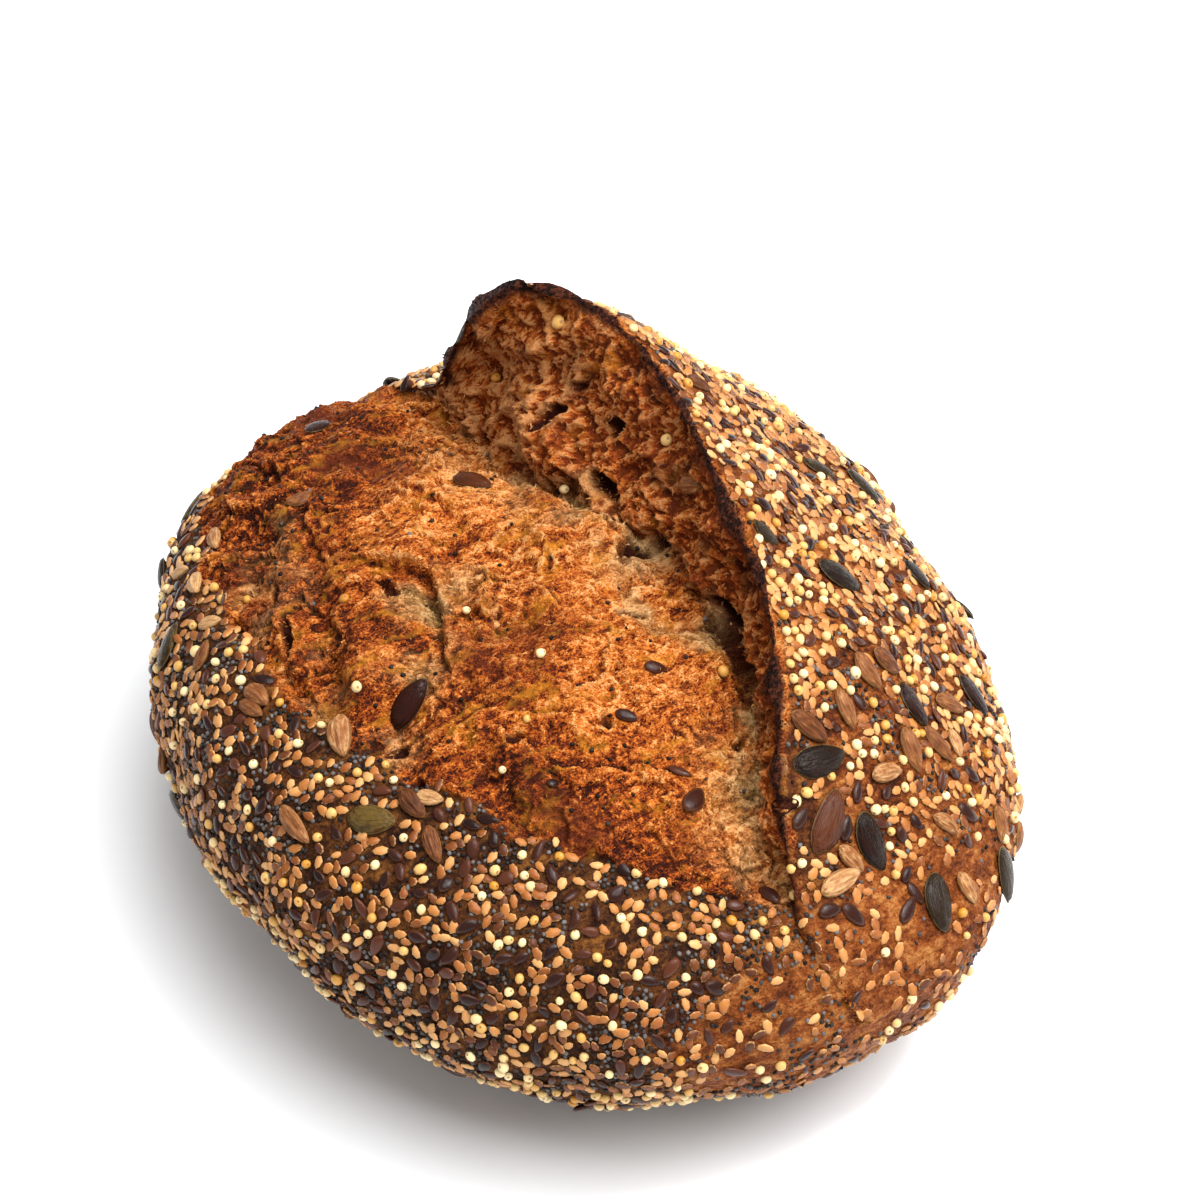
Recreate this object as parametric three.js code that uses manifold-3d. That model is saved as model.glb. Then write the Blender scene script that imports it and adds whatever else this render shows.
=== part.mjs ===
// A seeded sourdough loaf as one solid: an oval body with a flat base, torn open along one slash,
// whose right-hand edge stands up as a tall ear over the groove. The largest seeds are baked on.
// Millimetres, +Z up. +X runs along the slash to the loaf's front tip, +Y towards the ear's side,
// and the origin is on the base, under the middle of the loaf.

import * as THREE from "three";
import { mergeVertices } from "three/addons/utils/BufferGeometryUtils.js";
import Module from "manifold-3d";

// Driving dimensions of the body
const halfLength = 105; // middle to tip
const leftHalfWidth = 88.5; // slash line to the side below the torn crumb
const rightHalfWidth = 80.5; // slash line to the side below the ear
const widestHeight = 43.5; // level of the widest outline
const domeHeight = 91.5; // top of the crumb dome
const underDepth = 51; // how far below the widest level the round underside would reach
const baseRounding = 5; // softness of the edge where the underside meets the flat base
const tipLean = 1.5; // sideways lean of the front tip
const tipBend = 3.5; // sideways bend of both tips
const sideShift = 4; // moves the middle of the width onto the origin

// Squareness of the curves: 2 is an ellipse, more is boxier
const planRoundness = 2.14;
const spineRoundness = 1.72;
const leftRoundness = 2.7;
const rightRoundness = 1.8;
const underRoundness = 1.86;

// Small differences between the two ends
const leftTaper = 0.03; // the left side is fuller towards the front
const rightTaper = -0.07; // the right side is fuller towards the back
const spineTaper = 0.09; // the dome is higher towards the front

// The slash from front to back: where its groove and the ear's crest lie across the loaf,
// and how far the crest stands above the dome
const slash = [
  { x: -110, groove: -6, crest: -3, rise: 0 },
  { x: -74, groove: 3, crest: 2, rise: 3 },
  { x: -63, groove: 5, crest: 7, rise: 26 },
  { x: -52, groove: 4, crest: 14, rise: 36 },
  { x: -38, groove: 3, crest: 22, rise: 33 },
  { x: -20, groove: 6, crest: 25, rise: 28.5 },
  { x: 0, groove: 11, crest: 23, rise: 25 },
  { x: 22, groove: 14, crest: 19, rise: 21.5 },
  { x: 42, groove: 12, crest: 15, rise: 18.5 },
  { x: 60, groove: 3, crest: 7, rise: 15 },
  { x: 76, groove: -4, crest: -3, rise: 10 },
  { x: 92, groove: -6, crest: -8, rise: 3 },
  { x: 110, groove: -8, crest: -10, rise: 0 },
];
const earFalloff = 26; // width over which the ear sinks into the right-hand crust
const earSharpness = 1.1;
const faceBulge = 0.06; // how far the torn face bellies out, as a share of its height
const grooveDepth = 3.5;
const grooveWidth = 14;
const valley = { x: -52, reach: 20, deeper: 1.6, wider: 0.35 }; // the groove opens out at the back

// The lip where the torn crumb ends and the seeded crust begins, an oval in plan
const lip = { x: -8, halfLength: 96, depth: 70, frontRoundness: 1.6, backRoundness: 2.2 };

// Relief of the torn crumb and the crust
const dough = { size: 34, height: 1.2 };
const crags = { size: 15, height: 1.7 };
const creases = [
  { from: [-6, -28], to: [24, -62], depth: 3, width: 6 },
  { from: [-50, -50], to: [-8, -74], depth: 2, width: 5 },
  { from: [-32, -50], to: [6, -64], depth: 1.6, width: 4 },
  { from: [-8, -38], to: [-4, -31], depth: 3.2, width: 6 },
  { from: [16, 1], to: [24, 3], depth: 2.2, width: 4 },
];

// Fineness of the body's mesh
const rowCount = 54;
const columnCounts = { leftBase: 6, leftDome: 18, face: 4, rightDome: 12, rightBase: 6 };

// The seeds that are large enough to feel, with how many lie on each part of the loaf
const seedKinds = [
  { length: 13, width: 7.5, height: 3.6, sides: 6, rings: 4, taper: 0.2, band: 9, flap: 13, crumb: 1 },
  { length: 9.5, width: 5, height: 3.2, sides: 5, rings: 3, taper: 0.35, band: 22, flap: 34, crumb: 2 },
  { length: 5.2, width: 2.8, height: 2, sides: 4, rings: 3, taper: 0.2, band: 28, flap: 12, crumb: 6 },
];
const seedSunk = 0.12; // a seed's middle lies this share of its height above the crust
const seedClearance = 0.55; // least distance between two seeds, as a share of their summed lengths
const seedFloor = 16; // no seed below this height
const bareRim = 0.12; // share of a dome beside the slash that carries no seed
const seedTries = 12; // the most open of so many random places is taken
const randomStart = 20317;

// A repeatable random number from 0 to 1
let randomState = randomStart;
function random() {
  randomState = (Math.imul(randomState, 1664525) + 1013904223) >>> 0;
  return randomState / 4294967296;
}

function clamp(value, low, high) {
  return Math.min(Math.max(value, low), high);
}

// One property of the slash at x, by a cubic through the stations that never overshoots them
function alongSlash(property, x) {
  const last = slash.length - 2;
  const k = clamp(slash.findIndex((station) => station.x > x) - 1, 0, last);
  const grade = (i) =>
    (slash[i + 1][property] - slash[i][property]) / (slash[i + 1].x - slash[i].x);
  const slopeAt = (i) => {
    if (i === 0 || i === slash.length - 1) return 0;
    const before = grade(i - 1);
    const after = grade(i);
    return before * after > 0 ? (2 * before * after) / (before + after) : 0;
  };
  const span = slash[k + 1].x - slash[k].x;
  const t = (x - slash[k].x) / span;
  const rest = 1 - t;
  return (
    slash[k][property] * (1 + 2 * t) * rest * rest +
    slash[k + 1][property] * (1 + 2 * rest) * t * t +
    (slopeAt(k) * rest - slopeAt(k + 1) * t) * span * t * rest
  );
}

// Half-height of a unit superellipse at s, from -1 to 1
function oval(s, roundness) {
  return Math.pow(Math.max(1 - Math.pow(Math.abs(s), roundness), 0), 1 / roundness);
}

// The point at an angle on a quarter of a unit superellipse
function quarter(angle, roundness) {
  const across = Math.cos(angle);
  const up = Math.sin(angle);
  const radius = Math.pow(across ** roundness + up ** roundness, -1 / roundness);
  return { across: across * radius, up: up * radius };
}

// What one cross-section of the loaf needs, at s from -1 (back tip) to 1 (front tip)
function sectionAt(s) {
  const x = halfLength * s;
  const width = oval(s, planRoundness);
  const tipFade = Math.min(1, 2 * width);
  const rise = alongSlash("rise", x) * tipFade;
  const open = Math.exp(-(((x - valley.x) / valley.reach) ** 2));
  const spine = oval(s, spineRoundness) * (1 + spineTaper * s);
  return {
    x,
    left: -leftHalfWidth * width * (1 + leftTaper * s),
    right: rightHalfWidth * width * (1 + rightTaper * s),
    under: underDepth * width,
    dome: (domeHeight - widestHeight) * spine,
    groove: alongSlash("groove", x) * tipFade,
    crest: alongSlash("crest", x) * tipFade,
    rise,
    cut: grooveDepth * Math.min(1, rise / 10) * (1 + valley.deeper * open),
    cutWidth: grooveWidth * (1 + valley.wider * open),
    lean: tipLean * s + tipBend * s * s + sideShift,
  };
}

// Each zone of a section takes t from 0 to 1, going round from the base's middle over the top
const zones = {
  leftBase(section, t) {
    const p = quarter((1 - t) * (Math.PI / 2), underRoundness);
    return [section.left * p.across, widestHeight - section.under * p.up];
  },
  leftDome(section, t) {
    const p = quarter(t * (Math.PI / 2), leftRoundness);
    const y = section.groove + (section.left - section.groove) * p.across;
    const notch = section.cut * Math.exp(-(((y - section.groove) / section.cutWidth) ** 2));
    return [y, widestHeight + section.dome * p.up - notch];
  },
  face(section, t) {
    const [grooveY, grooveZ] = zones.leftDome(section, 1);
    const [crestY, crestZ] = zones.rightDome(section, 0);
    const belly = faceBulge * (crestZ - grooveZ) * Math.sin(Math.PI * t);
    return [grooveY + (crestY - grooveY) * t + belly, grooveZ + (crestZ - grooveZ) * t];
  },
  rightDome(section, t) {
    const p = quarter((1 - t) * (Math.PI / 2), rightRoundness);
    const y = section.crest + (section.right - section.crest) * p.across;
    const away = Math.abs(y - section.crest) / earFalloff;
    const ear = section.rise * Math.exp(-Math.pow(away, earSharpness)) * Math.sqrt(p.up);
    return [y, widestHeight + section.dome * p.up + ear];
  },
  rightBase(section, t) {
    const p = quarter(t * (Math.PI / 2), underRoundness);
    return [section.right * p.across, widestHeight - section.under * p.up];
  },
};

// Heights near zero settle softly onto the flat base
function settle(z) {
  if (z >= baseRounding) return z;
  if (z <= -baseRounding) return 0;
  return (z + baseRounding) ** 2 / (4 * baseRounding);
}

// The section's columns, in order round the loaf: a dome holds both its ends, and the zones
// between them start and stop short of points that they share
const columns = Object.entries(columnCounts).flatMap(([zone, count]) => {
  const isDome = zone.endsWith("Dome");
  const first = zone === "face" || zone === "rightBase" ? 1 : 0;
  const steps = isDome ? count - 1 : count;
  return Array.from({ length: count - first }, (_, k) => ({ zone, t: (first + k) / steps }));
});

// A smooth uneven field from -1 to 1, with bumps of about the given size
function unevenness(p, size, shift) {
  const waveCount = 6;
  const goldenAngle = 2.39996;
  let sum = 0;
  for (let k = 0; k < waveCount; k++) {
    const up = 1 - (2 * k + 1) / waveCount;
    const flat = Math.sqrt(1 - up * up);
    const turn = k * goldenAngle + shift;
    const along = p.x * Math.cos(turn) * flat + p.y * Math.sin(turn) * flat + p.z * up;
    sum += Math.sin((2 * Math.PI * along * (0.7 + 0.12 * k)) / size + 5 * turn);
  }
  return sum / (0.5 * waveCount);
}

// How far the torn crumb reaches across the loaf at x, as a y on the left side
function lipAt(x) {
  const s = (x - lip.x) / lip.halfLength;
  return -lip.depth * oval(s, s > 0 ? lip.frontRoundness : lip.backRoundness) + sideShift;
}

function isTorn(p, zone) {
  return zone === "face" || (zone === "leftDome" && p.y > lipAt(p.x));
}

// How far the surface stands out at a point
function reliefAt(p, zone) {
  const overBase = clamp((p.z - 3) / 12, 0, 1);
  let out = dough.height * unevenness(p, dough.size, 0);
  if (isTorn(p, zone)) {
    out += crags.height * unevenness(p, crags.size, 1);
    const spot = new THREE.Vector3(p.x, p.y - sideShift, 0);
    for (const crease of creases) {
      const line = new THREE.Line3(
        new THREE.Vector3(crease.from[0], crease.from[1], 0),
        new THREE.Vector3(crease.to[0], crease.to[1], 0),
      );
      const near = line.closestPointToPoint(spot, true, new THREE.Vector3());
      out -= crease.depth * Math.exp(-((near.distanceTo(spot) / crease.width) ** 2));
    }
  }
  return out * overBase;
}

// The body: rows of points round the loaf between its two tips
function rowPoints(s) {
  const section = sectionAt(s);
  return columns.map(({ zone, t }) => {
    const [y, z] = zones[zone](section, t);
    return new THREE.Vector3(section.x, y + section.lean, settle(z));
  });
}

const smooth = Array.from({ length: rowCount }, (_, i) =>
  rowPoints(-Math.cos((Math.PI * (i + 1)) / (rowCount + 1))),
);
const backTip = new THREE.Vector3(-halfLength, sideShift + tipBend - tipLean, widestHeight);
const frontTip = new THREE.Vector3(halfLength, sideShift + tipBend + tipLean, widestHeight);

function normalAt(i, j) {
  const count = columns.length;
  const ahead = i + 1 < rowCount ? smooth[i + 1][j] : frontTip;
  const behind = i > 0 ? smooth[i - 1][j] : backTip;
  const after = smooth[i][(j + 1) % count];
  const before = smooth[i][(j + count - 1) % count];
  const along = ahead.clone().sub(behind);
  const round = after.clone().sub(before);
  return along.cross(round).normalize();
}

const rough = smooth.map((row, i) =>
  row.map((p, j) => p.clone().addScaledVector(normalAt(i, j), reliefAt(p, columns[j].zone))),
);

function bodyGeometry() {
  const positions = [backTip, ...rough.flat(), frontTip].flatMap((p) => p.toArray());
  const count = columns.length;
  const index = (i, j) => 1 + i * count + (j % count);
  const frontIndex = 1 + rowCount * count;
  const faces = [];
  for (let j = 0; j < count; j++) {
    faces.push(0, index(0, j), index(0, j + 1));
    faces.push(frontIndex, index(rowCount - 1, j + 1), index(rowCount - 1, j));
    for (let i = 0; i + 1 < rowCount; i++) {
      faces.push(index(i, j), index(i + 1, j), index(i, j + 1));
      faces.push(index(i + 1, j), index(i + 1, j + 1), index(i, j + 1));
    }
  }
  const geometry = new THREE.BufferGeometry();
  geometry.setAttribute("position", new THREE.Float32BufferAttribute(positions, 3));
  geometry.setIndex(faces);
  return geometry;
}

// A seed lies along X: an ellipsoid, broader at one end, flat as its height
function seedGeometry(kind) {
  const geometry = new THREE.SphereGeometry(1, kind.sides, kind.rings);
  geometry.rotateZ(Math.PI / 2);
  const position = geometry.attributes.position;
  for (let i = 0; i < position.count; i++) {
    const swell = 1 + kind.taper * position.getX(i);
    position.setY(i, position.getY(i) * swell);
  }
  return geometry.scale(kind.length / 2, kind.width / 2, kind.height / 2);
}

function partOfLoaf(p, zone) {
  if (isTorn(p, zone)) return "crumb";
  return zone === "rightDome" || zone === "rightBase" ? "flap" : "band";
}

function besideSlash({ zone, t }) {
  return (
    zone === "face" ||
    (zone === "leftDome" && t > 1 - bareRim) ||
    (zone === "rightDome" && t < bareRim)
  );
}

// Every place where a seed can lie, with its outward direction and the area round it
function seedPlaces() {
  const places = [];
  for (let i = 1; i + 1 < rowCount; i++) {
    for (let j = 0; j < columns.length; j++) {
      const at = rough[i][j];
      if (at.z < seedFloor || besideSlash(columns[j])) continue;
      const side = rough[i][(j + 1) % columns.length].clone().sub(at);
      const ahead = rough[i + 1][j].clone().sub(at);
      const part = partOfLoaf(at, columns[j].zone);
      places.push({ at, out: normalAt(i, j), area: side.cross(ahead).length(), part });
    }
  }
  return places;
}

// Draws a place with a chance that goes with its area
function drawPlace(places) {
  const total = places.reduce((sum, place) => sum + place.area, 0);
  let left = random() * total;
  return places.find((place) => (left -= place.area) <= 0) ?? places[0];
}

// The widest gap from a place to the seeds that are already there
function gapAt(place, length, taken) {
  let gap = Infinity;
  for (const other of taken) {
    const needed = seedClearance * (length + other.length);
    gap = Math.min(gap, place.at.distanceTo(other.at) - needed);
  }
  return gap;
}

function scatterSeeds() {
  const places = seedPlaces();
  const taken = [];
  for (const kind of seedKinds) {
    for (const part of ["band", "flap", "crumb"]) {
      const here = places.filter((place) => place.part === part);
      for (let n = 0; n < kind[part]; n++) {
        const drawn = Array.from({ length: seedTries }, () => drawPlace(here));
        const gaps = drawn.map((place) => gapAt(place, kind.length, taken));
        const best = gaps.indexOf(Math.max(...gaps));
        const turn = random() * 2 * Math.PI;
        if (gaps[best] > 0) taken.push({ ...drawn[best], length: kind.length, kind, turn });
      }
    }
  }
  return taken;
}

// The seed's geometry, turned flat onto the crust at its place
function placedSeed({ at, out, kind, turn }) {
  const flat = new THREE.Quaternion().setFromUnitVectors(new THREE.Vector3(0, 0, 1), out);
  const spin = new THREE.Quaternion().setFromAxisAngle(new THREE.Vector3(0, 0, 1), turn);
  const middle = at.clone().addScaledVector(out, seedSunk * kind.height);
  const matrix = new THREE.Matrix4().compose(
    middle,
    flat.multiply(spin),
    new THREE.Vector3(1, 1, 1),
  );
  return seedGeometry(kind).applyMatrix4(matrix);
}

const wasm = await Module();
wasm.setup();

function solidOf(geometry) {
  geometry.deleteAttribute("normal");
  geometry.deleteAttribute("uv");
  const merged = mergeVertices(geometry);
  return new wasm.Manifold(
    new wasm.Mesh({
      numProp: 3,
      vertProperties: new Float32Array(merged.attributes.position.array),
      triVerts: new Uint32Array(merged.index.array),
    }),
  );
}

function geometryOf(solid) {
  const mesh = solid.getMesh();
  const geometry = new THREE.BufferGeometry();
  geometry.setAttribute("position", new THREE.BufferAttribute(mesh.vertProperties, 3));
  geometry.setIndex(new THREE.BufferAttribute(mesh.triVerts, 1));
  geometry.computeVertexNormals();
  return geometry;
}

// Seeds and body in one closed solid: the largest piece is kept, so no scrap or sealed hollow stays
function seededLoaf() {
  const seeds = scatterSeeds().map((seed) => solidOf(placedSeed(seed)));
  const joined = seeds.reduce((solid, seed) => solid.add(seed), solidOf(bodyGeometry()));
  const pieces = joined.decompose().sort((a, b) => b.volume() - a.volume());
  return geometryOf(pieces[0]);
}

// Baked crust: a matt toasted brown
const crust = new THREE.MeshStandardMaterial({ color: 0xa5652f, roughness: 0.8, metalness: 0 });

const loaf = new THREE.Mesh(seededLoaf(), crust);
loaf.name = "loaf";

const part = new THREE.Group();
part.add(loaf);

export default part;
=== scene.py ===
import bpy
import math
import numpy as np
from functools import partial
from itertools import product
from mathutils import Matrix, Vector
from mathutils.bvhtree import BVHTree


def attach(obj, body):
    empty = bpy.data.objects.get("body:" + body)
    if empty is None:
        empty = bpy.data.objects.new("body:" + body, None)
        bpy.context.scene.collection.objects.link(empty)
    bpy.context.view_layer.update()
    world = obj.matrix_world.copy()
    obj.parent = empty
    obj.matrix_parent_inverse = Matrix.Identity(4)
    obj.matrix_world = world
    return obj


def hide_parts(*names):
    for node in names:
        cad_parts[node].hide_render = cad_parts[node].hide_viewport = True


# Seeded sourdough loaf: torn crumb, a tall ear, and a crust full of seeds
# Lengths in the dictionaries are millimetres unless they say otherwise

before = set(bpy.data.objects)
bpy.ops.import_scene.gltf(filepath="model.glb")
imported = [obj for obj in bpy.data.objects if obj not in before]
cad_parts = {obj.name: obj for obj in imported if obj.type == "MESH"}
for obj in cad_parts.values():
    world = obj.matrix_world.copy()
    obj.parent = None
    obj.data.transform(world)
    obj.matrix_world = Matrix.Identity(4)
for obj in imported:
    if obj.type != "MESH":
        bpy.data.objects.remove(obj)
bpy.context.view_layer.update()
mm = 0.001
print("frame loaded")


# the photo's camera

cameraSetup = {
    "azimuth": 60.2,      # degrees, 0 looks along +Y
    "elevation": 45.0,
    "distance": 1000.0,
    "aim": (0.0, 4.0, 45.0),
    "aside": 2.4,         # the aim, moved right and up in the picture
    "above": 20.8,
    "lens": 141.0,
    "sensor": 36.0,
    "picture": 1200.0,    # pixels a side of the picture that places are read from
}


def cameraAxes(setup):
    a, e = math.radians(setup["azimuth"]), math.radians(setup["elevation"])
    back = Vector((math.sin(a) * math.cos(e), -math.cos(a) * math.cos(e), math.sin(e)))
    right = Vector((math.cos(a), math.sin(a), 0))
    return right, back.cross(right), back


viewRight, viewUp, viewBack = cameraAxes(cameraSetup)
viewAim = Vector(cameraSetup["aim"]) + cameraSetup["aside"] * viewRight + cameraSetup["above"] * viewUp
viewFrom = viewAim + cameraSetup["distance"] * viewBack


def makeCamera(setup):
    data = bpy.data.cameras.new("camera")
    data.lens = setup["lens"]
    data.sensor_width = setup["sensor"]
    data.clip_end = 20
    camera = bpy.data.objects.new("camera", data)
    turn = Matrix((viewRight, viewUp, viewBack)).transposed().to_4x4()
    camera.matrix_world = Matrix.Translation(viewFrom * mm) @ turn
    bpy.context.scene.collection.objects.link(camera)
    bpy.context.scene.camera = camera


def sightLine(pixelX, pixelY):
    # direction in which the camera sees a pixel of the picture
    half = cameraSetup["picture"] / 2
    scale = cameraSetup["sensor"] / cameraSetup["lens"] / cameraSetup["picture"]
    across, up = (pixelX - half) * scale, (half - pixelY) * scale
    return (across * viewRight + up * viewUp - viewBack).normalized()


# noise, for shapes

rng = np.random.default_rng(4264)


def scrambled(cell, salt):
    # a repeatable 24-bit number for each whole-number cell
    h = cell[..., 0] * 374761393 + cell[..., 1] * 668265263 + cell[..., 2] * 1440662683 + salt * 974634777
    h = (h ^ ((h >> 13) & 0x7FFFF)) * 1274126177
    h = (h ^ ((h >> 16) & 0xFFFF)) * 668265263
    return (h >> 7) & 0xFFFFFF


def hashed(cell, salt):
    return scrambled(cell, salt) / 0xFFFFFF


def noise(p, size, salt=0):
    # smooth gradient noise from about -1 to 1, with a bump and a hollow in each two sizes
    q = p / size + salt * 17.3
    cell = np.floor(q).astype(np.int64)
    f = q - cell
    eased = f * f * f * (f * (f * 6 - 15) + 10)
    total = 0
    for corner in range(8):
        step = np.array([corner & 1, corner >> 1 & 1, corner >> 2 & 1])
        share = np.prod(np.where(step == 1, eased, 1 - eased), axis=-1)
        h = scrambled(cell + step, salt)
        d = f - step
        slope = (h & 255) * d[..., 0] + (h >> 8 & 255) * d[..., 1] + (h >> 16 & 255) * d[..., 2]
        total = total + share * (slope / 127.5 - d.sum(-1))
    return total * 1.5


def fractal(p, size, octaves, salt=0, gain=0.5):
    total, height, whole = 0, 1.0, 0.0
    for k in range(octaves):
        total = total + height * noise(p, size / 2.03 ** k, salt + k)
        whole += height
        height *= gain
    return total / whole


def ridged(p, size, octaves, salt=0, gain=0.55):
    # sharp ridges with smaller ones on their flanks, from 0 to 1
    total, weight, height, whole = 0, 1.0, 1.0, 0.0
    for k in range(octaves):
        ridge = np.clip(1 - np.abs(noise(p, size / 2.1 ** k, salt + k)) * 1.7, 0, 1) ** 2
        total = total + height * ridge * weight
        weight = np.clip(ridge * 2, 0.25, 1)
        whole += height
        height *= gain
    return total / whole


def nearestCell(p, size, salt=0):
    # one random point lies in each cell, and this finds the nearest:
    # its distance in sizes, its own random number, and the way to it
    q = p / size
    home = np.floor(q).astype(np.int64)
    best, name, way = np.full(q.shape[:-1], 9.0), np.zeros(q.shape[:-1]), np.zeros(q.shape)
    for k in range(27):
        cell = home + np.array([k % 3 - 1, k // 3 % 3 - 1, k // 9 - 1])
        step = cell + np.stack([hashed(cell, salt + n) for n in (1, 2, 3)], -1) - q
        away = np.sqrt((step ** 2).sum(-1))
        closer = away < best
        best, name = np.where(closer, away, best), np.where(closer, hashed(cell, salt + 4), name)
        way = np.where(closer[..., None], step, way)
    return best, name, way


def ramp(value, low, high):
    t = np.clip((value - low) / (high - low), 0, 1)
    return t * t * (3 - 2 * t)


# the loaf's form, the same named sizes as the solid

form = {
    "halfLength": 105, "leftHalfWidth": 88.5, "rightHalfWidth": 80.5, "widestHeight": 43.5,
    "domeHeight": 91.5, "underDepth": 51, "baseRounding": 5,
    "tipLean": 1.5, "tipBend": 3.5, "sideShift": 4,
    "planRoundness": 2.14, "spineRoundness": 1.72, "leftRoundness": 2.7, "rightRoundness": 1.8,
    "underRoundness": 1.86, "leftTaper": 0.03, "rightTaper": -0.07, "spineTaper": 0.09,
    "earFalloff": 26, "earSharpness": 1.1, "faceBulge": 0.06, "grooveDepth": 3.5, "grooveWidth": 14,
}
valley = {"x": -52, "reach": 20, "deeper": 1.6, "wider": 0.35}
lip = {"x": -8, "halfLength": 96, "depth": 70, "frontRoundness": 1.6, "backRoundness": 2.2}

# the slash from back to front: x, the groove's y, the crest's y, and how far the crest stands up
slash = np.array([
    (-110, -6, -3, 0), (-74, 3, 2, 3), (-63, 5, 7, 26), (-52, 4, 14, 36), (-38, 3, 22, 33),
    (-20, 6, 25, 28.5), (0, 11, 23, 25), (22, 14, 19, 21.5), (42, 12, 15, 18.5), (60, 3, 7, 15),
    (76, -4, -3, 10), (92, -6, -8, 3), (110, -8, -10, 0),
], float)


def alongSlash(column, x):
    # a cubic through the stations that never overshoots them
    sx, sv = slash[:, 0], slash[:, column]
    grade = np.diff(sv) / np.diff(sx)
    product = grade[:-1] * grade[1:]
    total = np.where(product > 0, grade[:-1] + grade[1:], 1)
    slope = np.concatenate([[0], np.where(product > 0, 2 * product / total, 0), [0]])
    k = np.clip(np.searchsorted(sx, x, side="right") - 1, 0, len(sx) - 2)
    span = sx[k + 1] - sx[k]
    t = (x - sx[k]) / span
    rest = 1 - t
    return (sv[k] * (1 + 2 * t) * rest ** 2 + sv[k + 1] * (1 + 2 * rest) * t ** 2
            + (slope[k] * rest - slope[k + 1] * t) * span * t * rest)


def oval(s, roundness):
    return np.maximum(1 - np.abs(s) ** roundness, 0) ** (1 / roundness)


def quarter(turn, roundness):
    across, up = np.abs(np.cos(turn * math.pi / 2)), np.abs(np.sin(turn * math.pi / 2))
    radius = (across ** roundness + up ** roundness) ** (-1 / roundness)
    return across * radius, up * radius


class Section:
    # what the cross-sections at s, from -1 to 1 along the loaf, need
    def __init__(self, s):
        f = form
        self.x = f["halfLength"] * s
        width = oval(s, f["planRoundness"])
        tipFade = np.minimum(1, 2 * width)
        self.left = -f["leftHalfWidth"] * width * (1 + f["leftTaper"] * s)
        self.right = f["rightHalfWidth"] * width * (1 + f["rightTaper"] * s)
        self.under = f["underDepth"] * width
        domeRise = f["domeHeight"] - f["widestHeight"]
        self.dome = domeRise * oval(s, f["spineRoundness"]) * (1 + f["spineTaper"] * s)
        self.groove = alongSlash(1, self.x) * tipFade
        self.crest = alongSlash(2, self.x) * tipFade
        self.rise = alongSlash(3, self.x) * tipFade
        opened = np.exp(-((self.x - valley["x"]) / valley["reach"]) ** 2)
        self.cut = f["grooveDepth"] * np.minimum(1, self.rise / 10) * (1 + valley["deeper"] * opened)
        self.cutWidth = f["grooveWidth"] * (1 + valley["wider"] * opened)
        self.lean = f["tipLean"] * s + f["tipBend"] * s * s + f["sideShift"]

    def leftBase(self, t):
        across, up = quarter(1 - t, form["underRoundness"])
        return self.left * across, form["widestHeight"] - self.under * up

    def leftDome(self, t):
        across, up = quarter(t, form["leftRoundness"])
        y = self.groove + (self.left - self.groove) * across
        notch = self.cut * np.exp(-((y - self.groove) / self.cutWidth) ** 2)
        return y, form["widestHeight"] + self.dome * up - notch

    def face(self, t):
        grooveY, grooveZ = self.leftDome(np.ones_like(t))
        crestY, crestZ = self.rightDome(np.zeros_like(t))
        belly = form["faceBulge"] * (crestZ - grooveZ) * np.sin(math.pi * t)
        return grooveY + (crestY - grooveY) * t + belly, grooveZ + (crestZ - grooveZ) * t

    def rightDome(self, t):
        across, up = quarter(1 - t, form["rightRoundness"])
        y = self.crest + (self.right - self.crest) * across
        away = np.abs(y - self.crest) / form["earFalloff"]
        ear = self.rise * np.exp(-away ** form["earSharpness"]) * np.sqrt(up)
        return y, form["widestHeight"] + self.dome * up + ear

    def rightBase(self, t):
        across, up = quarter(t, form["underRoundness"])
        return self.right * across, form["widestHeight"] - self.under * up


def settle(z):
    r = form["baseRounding"]
    return np.where(z >= r, z, np.where(z <= -r, 0, (z + r) ** 2 / (4 * r)))


# the loaf's mesh: a fine net, with the torn crumb's relief in real shape

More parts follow.
